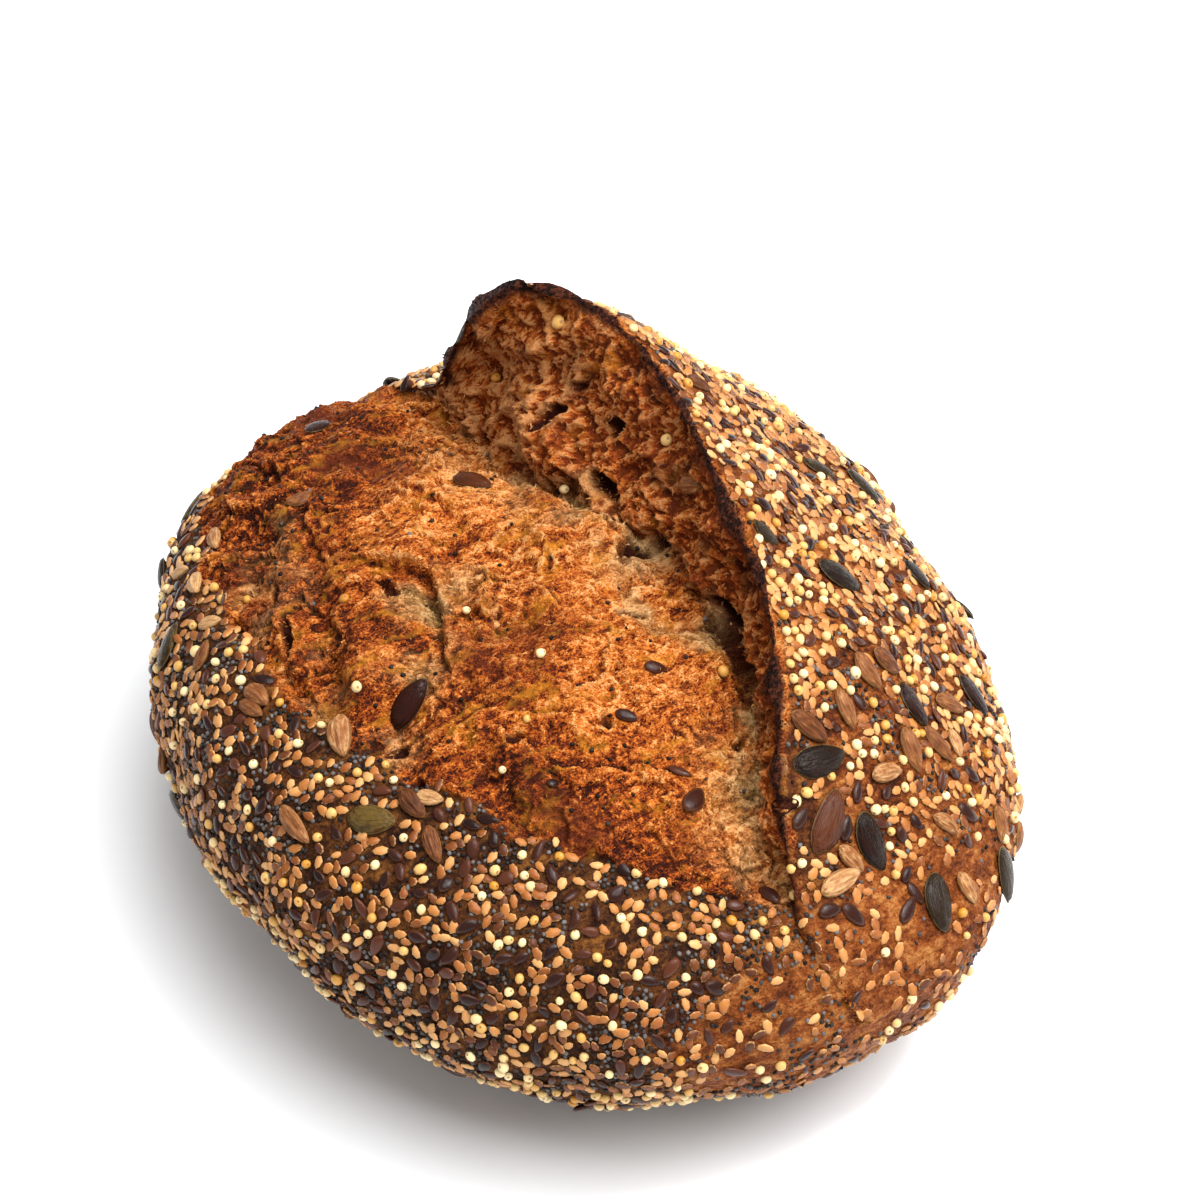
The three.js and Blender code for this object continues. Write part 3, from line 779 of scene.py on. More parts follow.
def toastedCrumbAndCrust():
    # wheat crust and torn crumb, oven baked: matt and fibrous, orange-brown with red-brown and burnt patches
    look = {
        "ramps": {
            "crumb": [(0.0, "#280d05"), (0.2, "#551e09"), (0.38, "#82370d"), (0.55, "#a85318"),
                      (0.76, "#c8742e"), (1.0, "#e0a265")],
            "burnt": [(0.36, "#130805"), (0.5, "#2a120b"), (0.62, "#562a19")],
            "soft": [(0.2, "#47301b"), (0.45, "#91693a"), (0.75, "#d0a571")],
            # the crust under the seeds, darkened partly as painted shade between them: dark on the left band,
            # tan on the flap, mottled on the bare front
            "band": [(0.22, "#150905"), (0.42, "#30180b"), (0.58, "#502d12"), (0.8, "#7a4c1f")],
            "flap": [(0.22, "#260f06"), (0.42, "#4e230c"), (0.58, "#7b3f18"), (0.8, "#ae773c")],
            "front": [(0.2, "#2c1107"), (0.38, "#58280d"), (0.54, "#7d4017"), (0.75, "#a46d39")],
        },
        "plain": {"amber": "#bb781c", "baked": "#5f2610", "scorched": "#35130a", "faceRed": "#9a4214"},
        # the plain colours' patches: pattern, where each starts and is full, and its greatest share
        "patches": {"amber": ("gold", 0.55, 0.68, 0.55), "baked": ("broad", 0.5, 0.66, 0.75),
                    "scorched": ("patches", 0.4, 0.28, 0.5)},
        # each tone's middle, and how strongly each pattern lightens it; peak paints highlights on raised
        # crumb and shade in its hollows
        "tones": {
            "crumb": (0.535, {"patches": 1.4, "speckle": 1.1, "grain": 1.1, "peak": 0.7, "fibre": 0.36}),
            "soft": (0.5, {"speckle": 1.2, "peak": 0.35, "grain": 0.5}),
            "burnt": (0.49, {"speckle": 1.4, "grain": 0.9, "patches": 0.5}),
            "crust": (0.5, {"patches": 1.0, "speckle": 1.0, "grain": 0.4}),
        },
        "toastDarkens": -0.44,
        # the ear's face: a painted highlight on its lumps, redder, darker by painted shade, and less pale
        "lumps": 0.65, "lumpsFrom": 0.6, "reddened": 0.36, "paintedFaceShade": 0.06, "paleShare": 0.45,
        "pull": (1.35, 0.65, 1.0),   # the crumb tore across the slash, so its marks are longer that way
        # size, whether it is pulled, detail, roughness and distortion
        "patterns": {
            "patches": (8.0, True, 6.0, 0.65, 0.7), "speckle": (1.6, True, 4.0, 0.7, 0.3),
            "broad": (26.0, False, 4.0, 0.6, 0.8), "grain": (0.5, False, 3.0, 0.6, 0.0),
            "gold": (6.0, True, 3.0, 0.6, 0.6),
        },
        "fibreSize": 1.1,
        "bumps": {"fibre": (0.6, 0.35), "speckle": (0.7, 1.2), "grain": (0.8, 0.6)},   # strength and height
        "specular": 0.1, "crustRoughness": 0.7, "crumbRoughness": (0.75, 0.25),
    }
    material, tree = newMaterial("toastedSourdough")
    add = partial(addNode, tree)
    at = add("TexCoord", output="Object")
    names = ("torn", "pale", "burnt", "face", "peak", "holeShade", "flap", "bare", "toast")
    fields = {name: add("Attribute", output="Fac", attribute_name=name) for name in names}
    torn, pale, burnt, face, peak, holeShade, flap, bare, toast = fields.values()
    pulled = add("VectorMath", {0: at, 1: look["pull"]}, operation="MULTIPLY")
    for name, (size, isPulled, detail, roughness, distortion) in look["patterns"].items():
        fields[name] = add("TexNoise", {
            "Vector": pulled if isPulled else at, "Scale": perMetre(size), "Detail": detail,
            "Roughness": roughness, "Distortion": distortion})
    fields["fibre"] = add("TexNoise", {
        "Vector": pulled, "Scale": perMetre(look["fibreSize"]), "Detail": 3.0, "Roughness": 0.6,
        "Distortion": 1.4, "Offset": 0.9, "Gain": 1.6}, noise_type="RIDGED_MULTIFRACTAL")

    # tones: the middle, and each pattern's distance from a half by its weight
    tones = {}
    for name, (tone, weights) in look["tones"].items():
        for pattern, weight in weights.items():
            away = add("Math", {0: fields[pattern], 1: 0.5}, operation="SUBTRACT")
            tone = add("Math", {0: away, 1: weight, 2: tone}, operation="MULTIPLY_ADD")
        tones[name] = tone
    # painted highlight on the face's lumps, and painted shade between them
    lumpHighlight = add("Math", {0: peak, 1: look["lumpsFrom"]}, operation="SUBTRACT")
    lumpHighlight = add("Math", {0: lumpHighlight, 1: face}, operation="MULTIPLY")
    for value, weight in ((toast, look["toastDarkens"]), (lumpHighlight, look["lumps"])):
        tones["crumb"] = add("Math", {0: value, 1: weight, 2: tones["crumb"]}, operation="MULTIPLY_ADD")
    coats = {name: linear(code) for name, code in look["plain"].items()}
    for name, stops in look["ramps"].items():
        coats[name] = add("ValToRGB", {"Fac": tones.get(name, tones["crust"])}, stops)

    # shares of the plain colours and of soft crumb
    share = {}
    for name, (pattern, start, full, most) in look["patches"].items():
        share[name] = add("MapRange", {
            "Value": fields[pattern], "From Min": start, "From Max": full, "To Max": most})
    baked = add("Math", {0: share["baked"], 1: toast}, operation="MULTIPLY")
    # painted shade: the face gets a share of the scorched colour
    paintedFaceShade = add("Math", {0: face, 1: look["paintedFaceShade"]}, operation="MULTIPLY")
    scorched = add("Math", {0: share["scorched"], 1: paintedFaceShade}, operation="ADD", use_clamp=True)
    reddened = add("Math", {0: face, 1: look["reddened"]}, operation="MULTIPLY")
    lessOnFace = add("MapRange", {"Value": face, "To Min": 1.0, "To Max": look["paleShare"]})
    soft = add("Math", {0: pale, 1: lessOnFace}, operation="MULTIPLY")

    # coats in the order they go on: what lies below, what goes over it, and its share
    for below, above, part in (
            ("crumb", "amber", share["amber"]), ("crumb", "baked", baked), ("crumb", "scorched", scorched),
            ("crumb", "faceRed", reddened), ("crumb", "soft", soft), ("crumb", "burnt", burnt),
            # the hole mask lays the scorched colour into holes and gaps as painted shade
            ("crumb", "scorched", holeShade), ("band", "flap", flap), ("band", "front", bare),
            ("band", "crumb", torn)):
        inputs = {mixFactor: part, mixFirst: coats[below], mixSecond: coats[above]}
        coats[below] = add("Mix", inputs, output=mixResult, data_type="RGBA")

    # fibres and grain too fine for the mesh, and the small wet-looking glints between them
    fields["fibre"] = add("Math", {0: fields["fibre"], 1: torn}, operation="MULTIPLY")
    bump = None
    for name, (strength, high) in look["bumps"].items():
        inputs = {"Height": fields[name], "Strength": strength, "Distance": high * mm, "Normal": bump}
        bump = add("Bump", inputs)
    dullest, glossiest = look["crumbRoughness"]
    rough = add("MapRange", {"Value": fields["grain"], "From Min": 0.45, "From Max": 0.62,
                             "To Min": dullest, "To Max": glossiest})
    openCrumb = add("Math", {0: torn, 1: bare}, operation="MAXIMUM")
    dull = add("MapRange", {"Value": openCrumb, "To Min": look["crustRoughness"], "To Max": 0.0})
    rough = add("Math", {0: rough, 1: dull}, operation="MAXIMUM")
    shader = add("BsdfPrincipled", {"Base Color": coats["band"], "Roughness": rough, "Normal": bump,
                                    "IOR": 1.45, "Specular IOR Level": look["specular"]})
    add("OutputMaterial", {"Surface": shader})
    return material


seedFinishes = {
    # colours run through each kind from its darkest seeds to its palest
    "hulledSesame": {  # small flat drops, golden from the oven, with a paler raised edge
        "stops": [(0.0, "#48210c"), (0.25, "#80451b"), (0.6, "#a96b33"), (1.0, "#c8965e")],
        "edge": "#d5aa73", "edgeShare": 0.75, "edgeFrom": 0.78,
        "roughness": 0.42, "specular": 0.25, "mottle": 0.35},
    "milletGrain": {  # little round beads, butter yellow, with a small scar
        "stops": [(0.0, "#965416"), (0.2, "#ba7f2a"), (0.55, "#c9a05d"), (1.0, "#dfc896")],
        "scar": "#74400f", "roughness": 0.36, "specular": 0.35, "mottle": 0.25},
    "poppySeed": {  # slate-blue specks, dull and pitted
        "stops": [(0.0, "#15100e"), (0.5, "#322b27"), (1.0, "#6a6462")],
        "roughness": 0.5, "specular": 0.12, "mottle": 0.6},
    "brownFlax": {  # glossy flat drops, dark brown with a lit edge
        "stops": [(0.0, "#1a0b08"), (0.5, "#2e150e"), (1.0, "#4e2818")],
        "edge": "#6e4230", "edgeShare": 0.5, "roughness": 0.25, "specular": 0.2, "mottle": 0.3},
    "sunflowerKernel": {  # tan to grey-brown, with lengthwise streaks
        "stops": [(0.0, "#2a1308"), (0.35, "#5a3016"), (0.65, "#81502b"), (1.0, "#b98f60")],
        "edge": "#b58a5a", "edgeShare": 0.35, "edgeFrom": 0.9,
        "roughness": 0.4, "specular": 0.15, "mottle": 0.55, "streaks": 0.9, "streakWidth": 2.8},
    "pumpkinKernel": {  # dark olive to red-brown, faintly wrinkled, with a fine rim round it
        "stops": [(0.0, "#260e07"), (0.25, "#180e09"), (0.68, "#2c2011"), (0.82, "#5a461f"),
                  (0.92, "#3a1a0b"), (1.0, "#4a2410")],
        "edge": "#7a683f", "edgeShare": 0.6, "edgeFrom": 0.95,
        "roughness": 0.27, "specular": 0.15, "mottle": 0.3, "streaks": 0.5, "streakWidth": 3.2},
}
seedSurface = {"mottleSize": 1.6, "grainSize": 0.6, "grainBump": (0.3, 0.2), "streakBump": (0.8, 0.9)}


def seedMaterial(name):
    look = seedFinishes[name]
    material, tree = newMaterial(name)
    add = partial(addNode, tree)
    tint = add("Attribute", output="Fac", attribute_name="tint")
    local = add("Attribute", output="Vector", attribute_name="local")
    at = add("TexCoord", output="Object")
    fine = add("TexNoise", {"Vector": at, "Scale": perMetre(seedSurface["grainSize"]), "Detail": 2.0})
    bumps = [(fine, *seedSurface["grainBump"])]
    mottle = add("TexNoise", {"Vector": at, "Scale": perMetre(seedSurface["mottleSize"]), "Detail": 3.0,
                              "Roughness": 0.6})
    patterns = [(mottle, look["mottle"])]
    if "streaks" in look:
        wide = look["streakWidth"]
        stretched = add("VectorMath", {0: local, 1: (0.8, wide, wide)}, operation="MULTIPLY")
        streak = add("TexNoise", {"Vector": stretched, "Scale": 1.0, "Detail": 3.0, "Distortion": 0.4})
        patterns.append((streak, look["streaks"]))
        bumps.append((streak, *seedSurface["streakBump"]))
    tone = tint
    for pattern, weight in patterns:
        away = add("Math", {0: pattern, 1: 0.5}, operation="SUBTRACT")
        tone = add("Math", {0: away, 1: weight, 2: tone}, operation="MULTIPLY_ADD", use_clamp=True)
    colour = add("ValToRGB", {"Fac": tone}, look["stops"])
    marks = []
    if "edge" in look:
        flatPlace = add("VectorMath", {0: local, 1: (1.0, 1.0, 0.0)}, operation="MULTIPLY")
        reach = add("VectorMath", {0: flatPlace}, output="Value", operation="LENGTH")
        marks.append(("edge", reach, look.get("edgeFrom", 0.7), 0.98, look["edgeShare"]))
    if "scar" in look:
        away = add("VectorMath", {0: local, 1: (0.75, 0.0, 0.62)}, output="Value", operation="DISTANCE")
        marks.append(("scar", away, 0.34, 0.2, 0.75))
    for mark, place, start, full, most in marks:
        share = add("MapRange", {"Value": place, "From Min": start, "From Max": full, "To Max": most})
        inputs = {mixFactor: share, mixFirst: colour, mixSecond: linear(look[mark])}
        colour = add("Mix", inputs, output=mixResult, data_type="RGBA")
    bump = None
    for height, strength, high in bumps:
        bump = add("Bump", {"Height": height, "Strength": strength, "Distance": high * mm, "Normal": bump})
    shader = add("BsdfPrincipled", {"Base Color": colour, "Roughness": look["roughness"], "Normal": bump,
                                    "IOR": 1.46, "Specular IOR Level": look["specular"]})
    add("OutputMaterial", {"Surface": shader})
    return material


# seeds

seedKinds = {
    # length, width and height, corners round the outline, how wide each ring is from the outline in,
    # how much narrower one end and both ends are, how uneven the sizes are, and how deep the seed is sunk
    "pumpkinKernel": {
        "size": (12.5, 6.7, 2.5), "corners": 26, "levels": (1.0, 0.93, 0.84, 0.6, 0.3),
        "taper": 0.24, "point": 0.12, "rim": 0.25, "spread": 0.05, "slot": "pumpkin_kernel", "sunk": 0.1},
    "sunflowerKernel": {
        "size": (9.2, 4.8, 2.6), "corners": 22, "levels": (1.0, 0.9, 0.76, 0.56, 0.36, 0.18),
        "taper": 0.34, "point": 0.12, "ridges": 0.16, "spread": 0.07, "slot": "sunflower_kernel",
        "sunk": 0.1},
    "brownFlax": {
        "size": (4.4, 2.6, 1.1), "corners": 11, "levels": (1.0, 0.75, 0.4),
        "taper": 0.3, "point": 0.1, "spread": 0.1, "slot": "flax_seed", "sunk": 0.05},
    "milletGrain": {
        "size": (2.2, 2.1, 1.9), "corners": 10, "levels": (1.0, 0.85, 0.5),
        "taper": 0.0, "spread": 0.08, "slot": "millet_grain", "sunk": 0.1},
    "hulledSesame": {
        "size": (2.95, 2.05, 0.9), "corners": 7, "levels": (1.0, 0.85),
        "taper": 0.3, "dish": 0.28, "spread": 0.08, "slot": "sesame_seed", "sunk": 0.0},
    "poppySeed": {
        "size": (1.15, 1.0, 0.9), "corners": 5, "levels": (1.0,),
        "taper": 0.0, "spread": 0.12, "slot": "poppy_seed", "sunk": 0.1},
}


def seedShape(kind):
    # a closed drop-shaped lens in unit lengths, of rings above and below the outline
    corners, levels = kind["corners"], kind["levels"]
    turn = np.arange(corners) / corners * 2 * math.pi
    ringX, ringY = np.cos(turn), np.sin(turn)
    narrowed = kind["taper"] * (0.5 + 0.5 * ringX) ** 1.5 + kind.get("point", 0) * ringX ** 4
    outline = np.stack([ringX, ringY * (1 - narrowed)], -1)
    rings = [(levels[k], math.sqrt(1 - levels[k] ** 2)) for k in range(len(levels) - 1, -1, -1)]
    if "dish" in kind:   # flat-topped, with a raised bead round the edge
        rings = [(reach, 0.7 if reach < 0.95 else height) for reach, height in rings]
    rings += [(0.72, -0.7)]   # the underside
    points = [np.array([[0, 0, 0.7 - kind["dish"] if "dish" in kind else 1.0]])]
    plain = [np.zeros((1, 2))]   # where each point is, as if the outline were round
    for reach, height in rings:
        plain.append(np.column_stack([ringX, ringY]) * reach)
        flat = outline * reach
        high = np.full(corners, height)
        if kind.get("rim") and 0.9 < reach < 0.96:
            high = high - kind["rim"]
        points.append(np.column_stack([flat, high]))
    points.append(np.array([[0, 0, -0.9]]))
    points = np.concatenate(points)
    plain.append(np.zeros((1, 2)))
    if "ridges" in kind:   # lengthwise ridges that run out at the edge
        across = points[:, 1] * 10 + 1.5 * points[:, 0] ** 2
        fade = (1 - (points[:, :2] ** 2).sum(1)) ** 0.5
        points[:, 2] += kind["ridges"] * np.cos(across) * fade * (points[:, 2] > 0)
    k = np.arange(corners)
    nextK = (k + 1) % corners
    top = np.stack([np.zeros(corners, int), 1 + k, 1 + nextK], -1)
    sides = [np.stack([1 + r * corners + k, 1 + (r + 1) * corners + k, 1 + (r + 1) * corners + nextK,
                       1 + r * corners + nextK], -1) for r in range(len(rings) - 1)]
    low = 1 + (len(rings) - 1) * corners
    bottom = np.stack([np.full(corners, len(points) - 1), low + nextK, low + k], -1)
    local = np.column_stack([np.concatenate(plain), points[:, 2]])
    return points, local, [top, np.concatenate(sides), bottom]


def turnedFrames(normals, headings):
    # three axes for each seed: along its length, across it, and out of the crust
    z = normals / np.linalg.norm(normals, axis=1, keepdims=True)
    x = headings - (headings * z).sum(1, keepdims=True) * z
    x /= np.maximum(np.linalg.norm(x, axis=1, keepdims=True), 1e-6)
    return np.stack([x, np.cross(z, x), z], 2)


def makeSeeds(kindName, places):
    kind = seedKinds[kindName]
    at, normals, headings, lengths, tints = [np.array(v, float) for v in zip(*places)]
    count = len(at)
    shape, local, faces = seedShape(kind)
    size = np.array(kind["size"]) / 2
    scale = size * (1 + kind["spread"] * rng.normal(size=(count, 3)).clip(-2, 2))
    scale *= (lengths / kind["size"][0])[:, None] ** np.array(laying["slimmer"])
    bend = rng.normal(0, laying["bend"], (count, 1))
    body = shape[None] * scale[:, None]
    body[..., 1] += bend * scale[:, :1] * (shape[None, :, 0] ** 2 - 0.4)
    body[..., 2] += laying["rock"] * scale[:, :1] * rng.normal(size=(count, 1)) * shape[None, :, 0]
    axes = turnedFrames(normals, headings)
    lift = (0.5 - kind["sunk"]) * scale[:, 2:3]
    points = np.einsum("nij,nvj->nvi", axes, body) + (at + axes[:, :, 2] * lift)[:, None]
    points[..., 2] = np.maximum(points[..., 2], 0.05)
    step = np.arange(count)[:, None, None] * len(shape)
    polygons = [(f[None] + step).reshape(-1, f.shape[1]) for f in faces]
    attributes = {"local": np.tile(local, (count, 1)), "tint": np.repeat(tints, len(shape))}
    piece = meshObject(kindName, points.reshape(-1, 3), polygons, attributes)
    finishPiece(piece, seedMaterial(kindName), kind["slot"])
    print(kindName, count, "seeds,", sum(len(p) * (p.shape[1] - 2) for p in polygons), "triangles")


laying = {
    "cell": 3.5,              # cells that keep seeds apart
    "tilt": 0.16,             # how unevenly seeds lie
    "shortest": 0.6,          # the shortest seed, against its kind's length
    "bend": 0.09, "rock": 0.05,
    "slimmer": (1, 0.85, 0.6),   # how far a shorter seed is narrower and flatter too
    "steepest": 0.45, "longest": 1.3,   # limits for seeds that the picture shows foreshortened
    "standOff": (-0.5, 1.5),
    "keepsFree": ((-0.3, 0, 0.3), 0.42),   # places along a listed seed, and a radius in widths
}


class Crust:
    # the finished surface, to lie seeds on
    def __init__(self, base, grid, masks, quads):
        self.zone, self.grid, self.masks = base.zone, grid, masks
        smooth = blurred(gridNormals(grid, base.tips), 6)
        self.smooth = smooth / np.maximum(np.linalg.norm(smooth, axis=-1, keepdims=True), 1e-9)
        side = np.roll(grid, -1, 1)[:-1] - grid[:-1]
        ahead = grid[1:] - grid[:-1]
        self.area = np.linalg.norm(np.cross(side, ahead), axis=-1)
        self.tree = BVHTree.FromPolygons([Vector(p) for p in grid.reshape(-1, 3)], quads.tolist())

    def draw(self, count, weight):
        # random places, as many on each part as weight times its area asks for
        share = (self.area * weight[:-1]).ravel()
        picked = rng.choice(share.size, count, p=share / share.sum())
        i, j = np.divmod(picked, self.area.shape[1])
        k = (j + 1) % self.area.shape[1]
        u, v = rng.random((2, count, 1))

        def within(field):
            near = field[i, j] * (1 - u) + field[i + 1, j] * u
            far = field[i, k] * (1 - u) + field[i + 1, k] * u
            return near * (1 - v) + far * v

        return within(self.grid), within(self.smooth), i, j


class Taken:
    # keeps seeds apart, by a grid of cells that each hold the seeds in them
    def __init__(self):
        self.size, self.cells = laying["cell"], {}

    def cellsAround(self, at, reach):
        return product(*[range(int(c // self.size) - reach, int(c // self.size) + reach + 1) for c in at])

    def add(self, at, radius):
        reach = int(radius // self.size) + 1 if radius > self.size else 0
        for cell in self.cellsAround(at, reach):
            self.cells.setdefault(cell, []).append((*at, radius))

    def isFree(self, at, radius):
        x, y, z = at
        for cell in self.cellsAround(at, 1):
            for ox, oy, oz, other in self.cells.get(cell, ()):
                gap = radius + other
                if (x - ox) ** 2 + (y - oy) ** 2 + (z - oz) ** 2 < gap * gap:
                    return False
        return True


def scatter(crust, taken, kindName, count, weight, radius, tries, sizes, tintPower):
    kind = seedKinds[kindName]
    at, normals, _, _ = crust.draw(int(count * tries), weight)
    places = []
    for p, n in zip(at, normals):
        if len(places) >= count:
            break
        if not taken.isFree(p, radius):
            continue
        taken.add(tuple(p), radius)
        heading = rng.normal(size=3)
        n = n + laying["tilt"] * rng.normal(size=3)
        length = kind["size"][0] * max(laying["shortest"], sizes[0] + sizes[1] * rng.normal())
        places.append((p, n, heading, length, rng.random() ** tintPower))
    return places


# single seeds that catch the eye: picture x and y, heading in degrees from the picture's right,
# length, and tint from dark at 0 to pale at 1
seenSeeds = {
    "pumpkinKernel": [
        (818, 761, 13, 11.0, 0.25), (911, 705, -60, 10.8, 0.1), (971, 696, -55, 10.8, 0.15),
        (870, 842, -65, 12.6, 0.2), (937, 903, -78, 12.4, 0.45), (1003, 874, -80, 11.5, 0.6),
        (827, 822, 72, 13.4, 1.25), (411, 704, 57, 12.4, 0.0), (372, 820, -5, 11.0, 0.8),
        (170, 646, 72, 10.5, 0.7), (195, 509, 62, 9.5, 0.75), (765, 534, -40, 6.5, 0.6),
        (818, 470, -25, 7.5, 0.65), (838, 577, -30, 10.0, 0.35), (916, 575, -50, 8.5, 0.3),
        (862, 487, -42, 9.5, 0.55), (318, 428, 32, 6.0, 0.0), (473, 482, -15, 8.6, 1.1),
    ],
    "sunflowerKernel": [
        (866, 672, -55, 9.8, 0.55), (885, 662, -37, 8.0, 0.35), (844, 710, -70, 9.2, 0.6),
        (807, 727, -40, 8.6, 0.35), (909, 751, -68, 10.2, 0.55), (936, 745, -55, 9.0, 0.45),
        (946, 706, -25, 7.2, 0.55), (954, 744, -70, 6.4, 0.85), (885, 773, 10, 6.4, 0.75),
        (850, 859, -45, 7.4, 0.72), (839, 882, 28, 8.6, 0.85), (944, 824, -40, 6.0, 0.7),
        (966, 888, -60, 7.2, 0.75), (997, 824, -80, 7.8, 0.6), (1014, 838, -75, 7.0, 0.6),
        (341, 738, -82, 9.0, 0.7), (197, 585, -80, 6.2, 0.95), (212, 624, 20, 5.4, 0.95),
        (204, 656, 75, 6.8, 0.45), (258, 696, -35, 6.6, 0.55), (252, 709, -30, 6.4, 0.5),
        (433, 845, -70, 8.2, 0.4), (413, 805, -48, 7.4, 0.25), (430, 799, -10, 6.0, 0.9),
        (296, 825, -50, 8.8, 0.6), (697, 484, 0, 6.6, 0.6), (696, 385, -20, 5.6, 0.3),
        (300, 500, 25, 6.2, 0.5), (182, 573, 20, 5.2, 1.0), (216, 540, -80, 5.8, 0.75),
    ],
    "brownFlax": [
        (655, 668, -8, 5.2, 0.5), (627, 717, -15, 5.6, 0.35), (693, 801, 48, 5.8, 0.5),
        (680, 772, -20, 4.8, 0.7), (553, 783, 10, 2.6, 0.0), (770, 897, -40, 5.0, 0.4),
        (829, 911, 12, 5.2, 0.4), (853, 915, -42, 5.8, 0.4), (907, 910, 62, 5.0, 0.4),
        (915, 893, -55, 4.6, 0.4), (800, 818, 55, 5.6, 0.4), (857, 792, 82, 4.6, 0.4),
        (971, 775, -45, 5.0, 0.4), (966, 813, -45, 5.0, 0.4), (833, 663, 12, 4.6, 0.5),
        (845, 828, 80, 5.4, 0.2),
    ],
    "milletGrain": [
        (541, 654, 0, 2.3, 0.9), (358, 687, 0, 2.0, 0.85), (467, 612, 0, 1.7, 0.95),
        (668, 440, 20, 2.3, 0.6), (498, 379, 0, 2.0, 0.2), (722, 672, 0, 2.3, 0.3),
        (248, 602, 0, 2.0, 0.25), (503, 770, 0, 1.5, 0.95), (567, 488, 0, 1.9, 0.85),
        (560, 323, 0, 2.9, 0.45), (527, 720, 0, 1.6, 0.4), (345, 600, 0, 1.9, 0.1),
    ],
}


def seatedOn(tree, hit, normal, reach):
    # how far a seed of this half size stands off a rough surface, to rest on its higher bits
    above, spokes, chosen = 6, 8, 5
    side = normal.orthogonal().normalized()
    heights = []
    for k in range(spokes):
        turn = Matrix.Rotation(k * 2 * math.pi / spokes, 3, normal)
        top = hit + turn @ side * (reach * (0.5 + 0.5 * (k % 2))) + normal * above
        found, _, _, distance = tree.ray_cast(top, -normal, 2 * above)
        heights.append(above - distance if found is not None else 0)
    return sorted(heights)[chosen]


def placeSeenSeeds(crust, taken):
    placed = {}
    smooth = crust.smooth.reshape(-1, 3)
    for kindName, rows in seenSeeds.items():
        size = seedKinds[kindName]["size"]
        for pixelX, pixelY, heading, length, tint in rows:
            hit, _, quad, _ = crust.tree.ray_cast(viewFrom, sightLine(pixelX, pixelY))
            if hit is None:
                print("no crust at", kindName, pixelX, pixelY)
                continue
            normal = Vector(smooth[quad])
            a = math.radians(heading)
            # lies on the crust, and points as it does in the picture
            along = math.cos(a) * viewRight + math.sin(a) * viewUp
            slant = max(normal.dot(viewBack), laying["steepest"])
            along = along - viewBack * (along.dot(normal) / slant)
            length *= min(along.length, laying["longest"])
            along.normalize()
            width = size[1] / size[0] * length
            lowest, highest = laying["standOff"]
            hit = hit + normal * min(max(seatedOn(crust.tree, hit, normal, width / 2), lowest), highest)
            placed.setdefault(kindName, []).append((hit, normal, along, length, tint))
            steps, radius = laying["keepsFree"]
            for step in steps:
                taken.add(tuple(hit + along * (step * length)), width * radius)
    return placed


seeding = {
    "bareBase": (5, 17),      # heights between which the seeds begin
    "patches": (14, 0.72, 0.28),   # size, the least, and how much more
    "bareFront": 0.86, "bareBack": 0.85,
    "clusters": 13,           # size of the crowds of poppy seeds
    "sparseFlap": 0.4,        # fewer sesame seeds towards the front
}


def seedDensity(crust):
    # how thickly each point of the crust is seeded, from 0 to 1
    x, z = crust.grid[..., 0], crust.grid[..., 2]
    size, least, more = seeding["patches"]
    patchy = least + more * ramp(noise(crust.grid, size, 123), -0.5, 0.3)
    behindEar = ramp(-x, 82, 92) * ramp(z, 48, 62)
    onCrust = (1 - crust.masks["torn"]) ** 2 * ramp(z, *seeding["bareBase"]) * patchy
    return onCrust * (1 - seeding["bareFront"] * crust.masks["bare"]) * (1 - seeding["bareBack"] * behindEar)


# kind, where it lies, how many, the radius each keeps free, draws for each, its size against
# the kind's and how much that varies, and above 1 for darker tints
scattered = [
    ("pumpkinKernel", "unseen", 26, 5.2, 30, (0.9, 0.1), 1.0),
    ("sunflowerKernel", "unseen", 60, 3.4, 30, (0.9, 0.12), 1.0),
    ("brownFlax", "band", 300, 1.6, 6, (1.0, 0.08), 1.0),
    ("brownFlax", "flap", 330, 1.5, 6, (1.0, 0.08), 1.0),
    ("milletGrain", "bandEdge", 480, 0.98, 5, (1.0, 0.08), 0.5),
    ("milletGrain", "flap", 700, 0.98, 5, (1.0, 0.08), 0.5),
    ("hulledSesame", "band", 1550, 0.82, 8, (1.0, 0.08), 1.1),
    ("hulledSesame", "flapBack", 3050, 0.72, 9, (1.0, 0.08), 0.8),
    ("poppySeed", "bandClusters", 5600, 0.44, 5, (1.0, 0.08), 1.0),
    ("poppySeed", "flapClusters", 1400, 0.44, 6, (1.0, 0.08), 1.0),
    ("poppySeed", "bloom", 110, 0.44, 3, (1.0, 0.08), 3.0),
]


def seedAreas(crust):
    # how thickly each area of the crust is seeded
    grid, density = crust.grid, seedDensity(crust)
    isBand = (crust.zone < 2).astype(float)
    onBand, onFlap = density * isBand, density * (1 - isBand)
    toCamera = np.array(viewFrom)[None, None] - grid
    toCamera /= np.linalg.norm(toCamera, axis=-1, keepdims=True)
    unseen = ramp(-(toCamera * crust.smooth).sum(-1), 0.0, 0.2)   # the listed seeds fill the rest
    clusters = ramp(fractal(grid, seeding["clusters"], 3, 131), -0.12, 0.35)
    edgeOfBand = np.clip(1 - ramp(grid[..., 2], 30, 48) + 1 - ramp(grid[..., 0], -70, -45), 0, 1)
    return {
        "unseen": density * unseen * ramp(grid[..., 2], 20, 34),
        "band": onBand, "bandEdge": onBand * (0.35 + 0.65 * edgeOfBand),
        "bandClusters": onBand * (0.05 + 0.95 * clusters),
        "flap": onFlap, "flapBack": onFlap * (1 - seeding["sparseFlap"] * ramp(grid[..., 0], 25, 65)),
        "flapClusters": onFlap * clusters,
        "bloom": crust.masks["torn"] * (crust.zone == 1),
    }


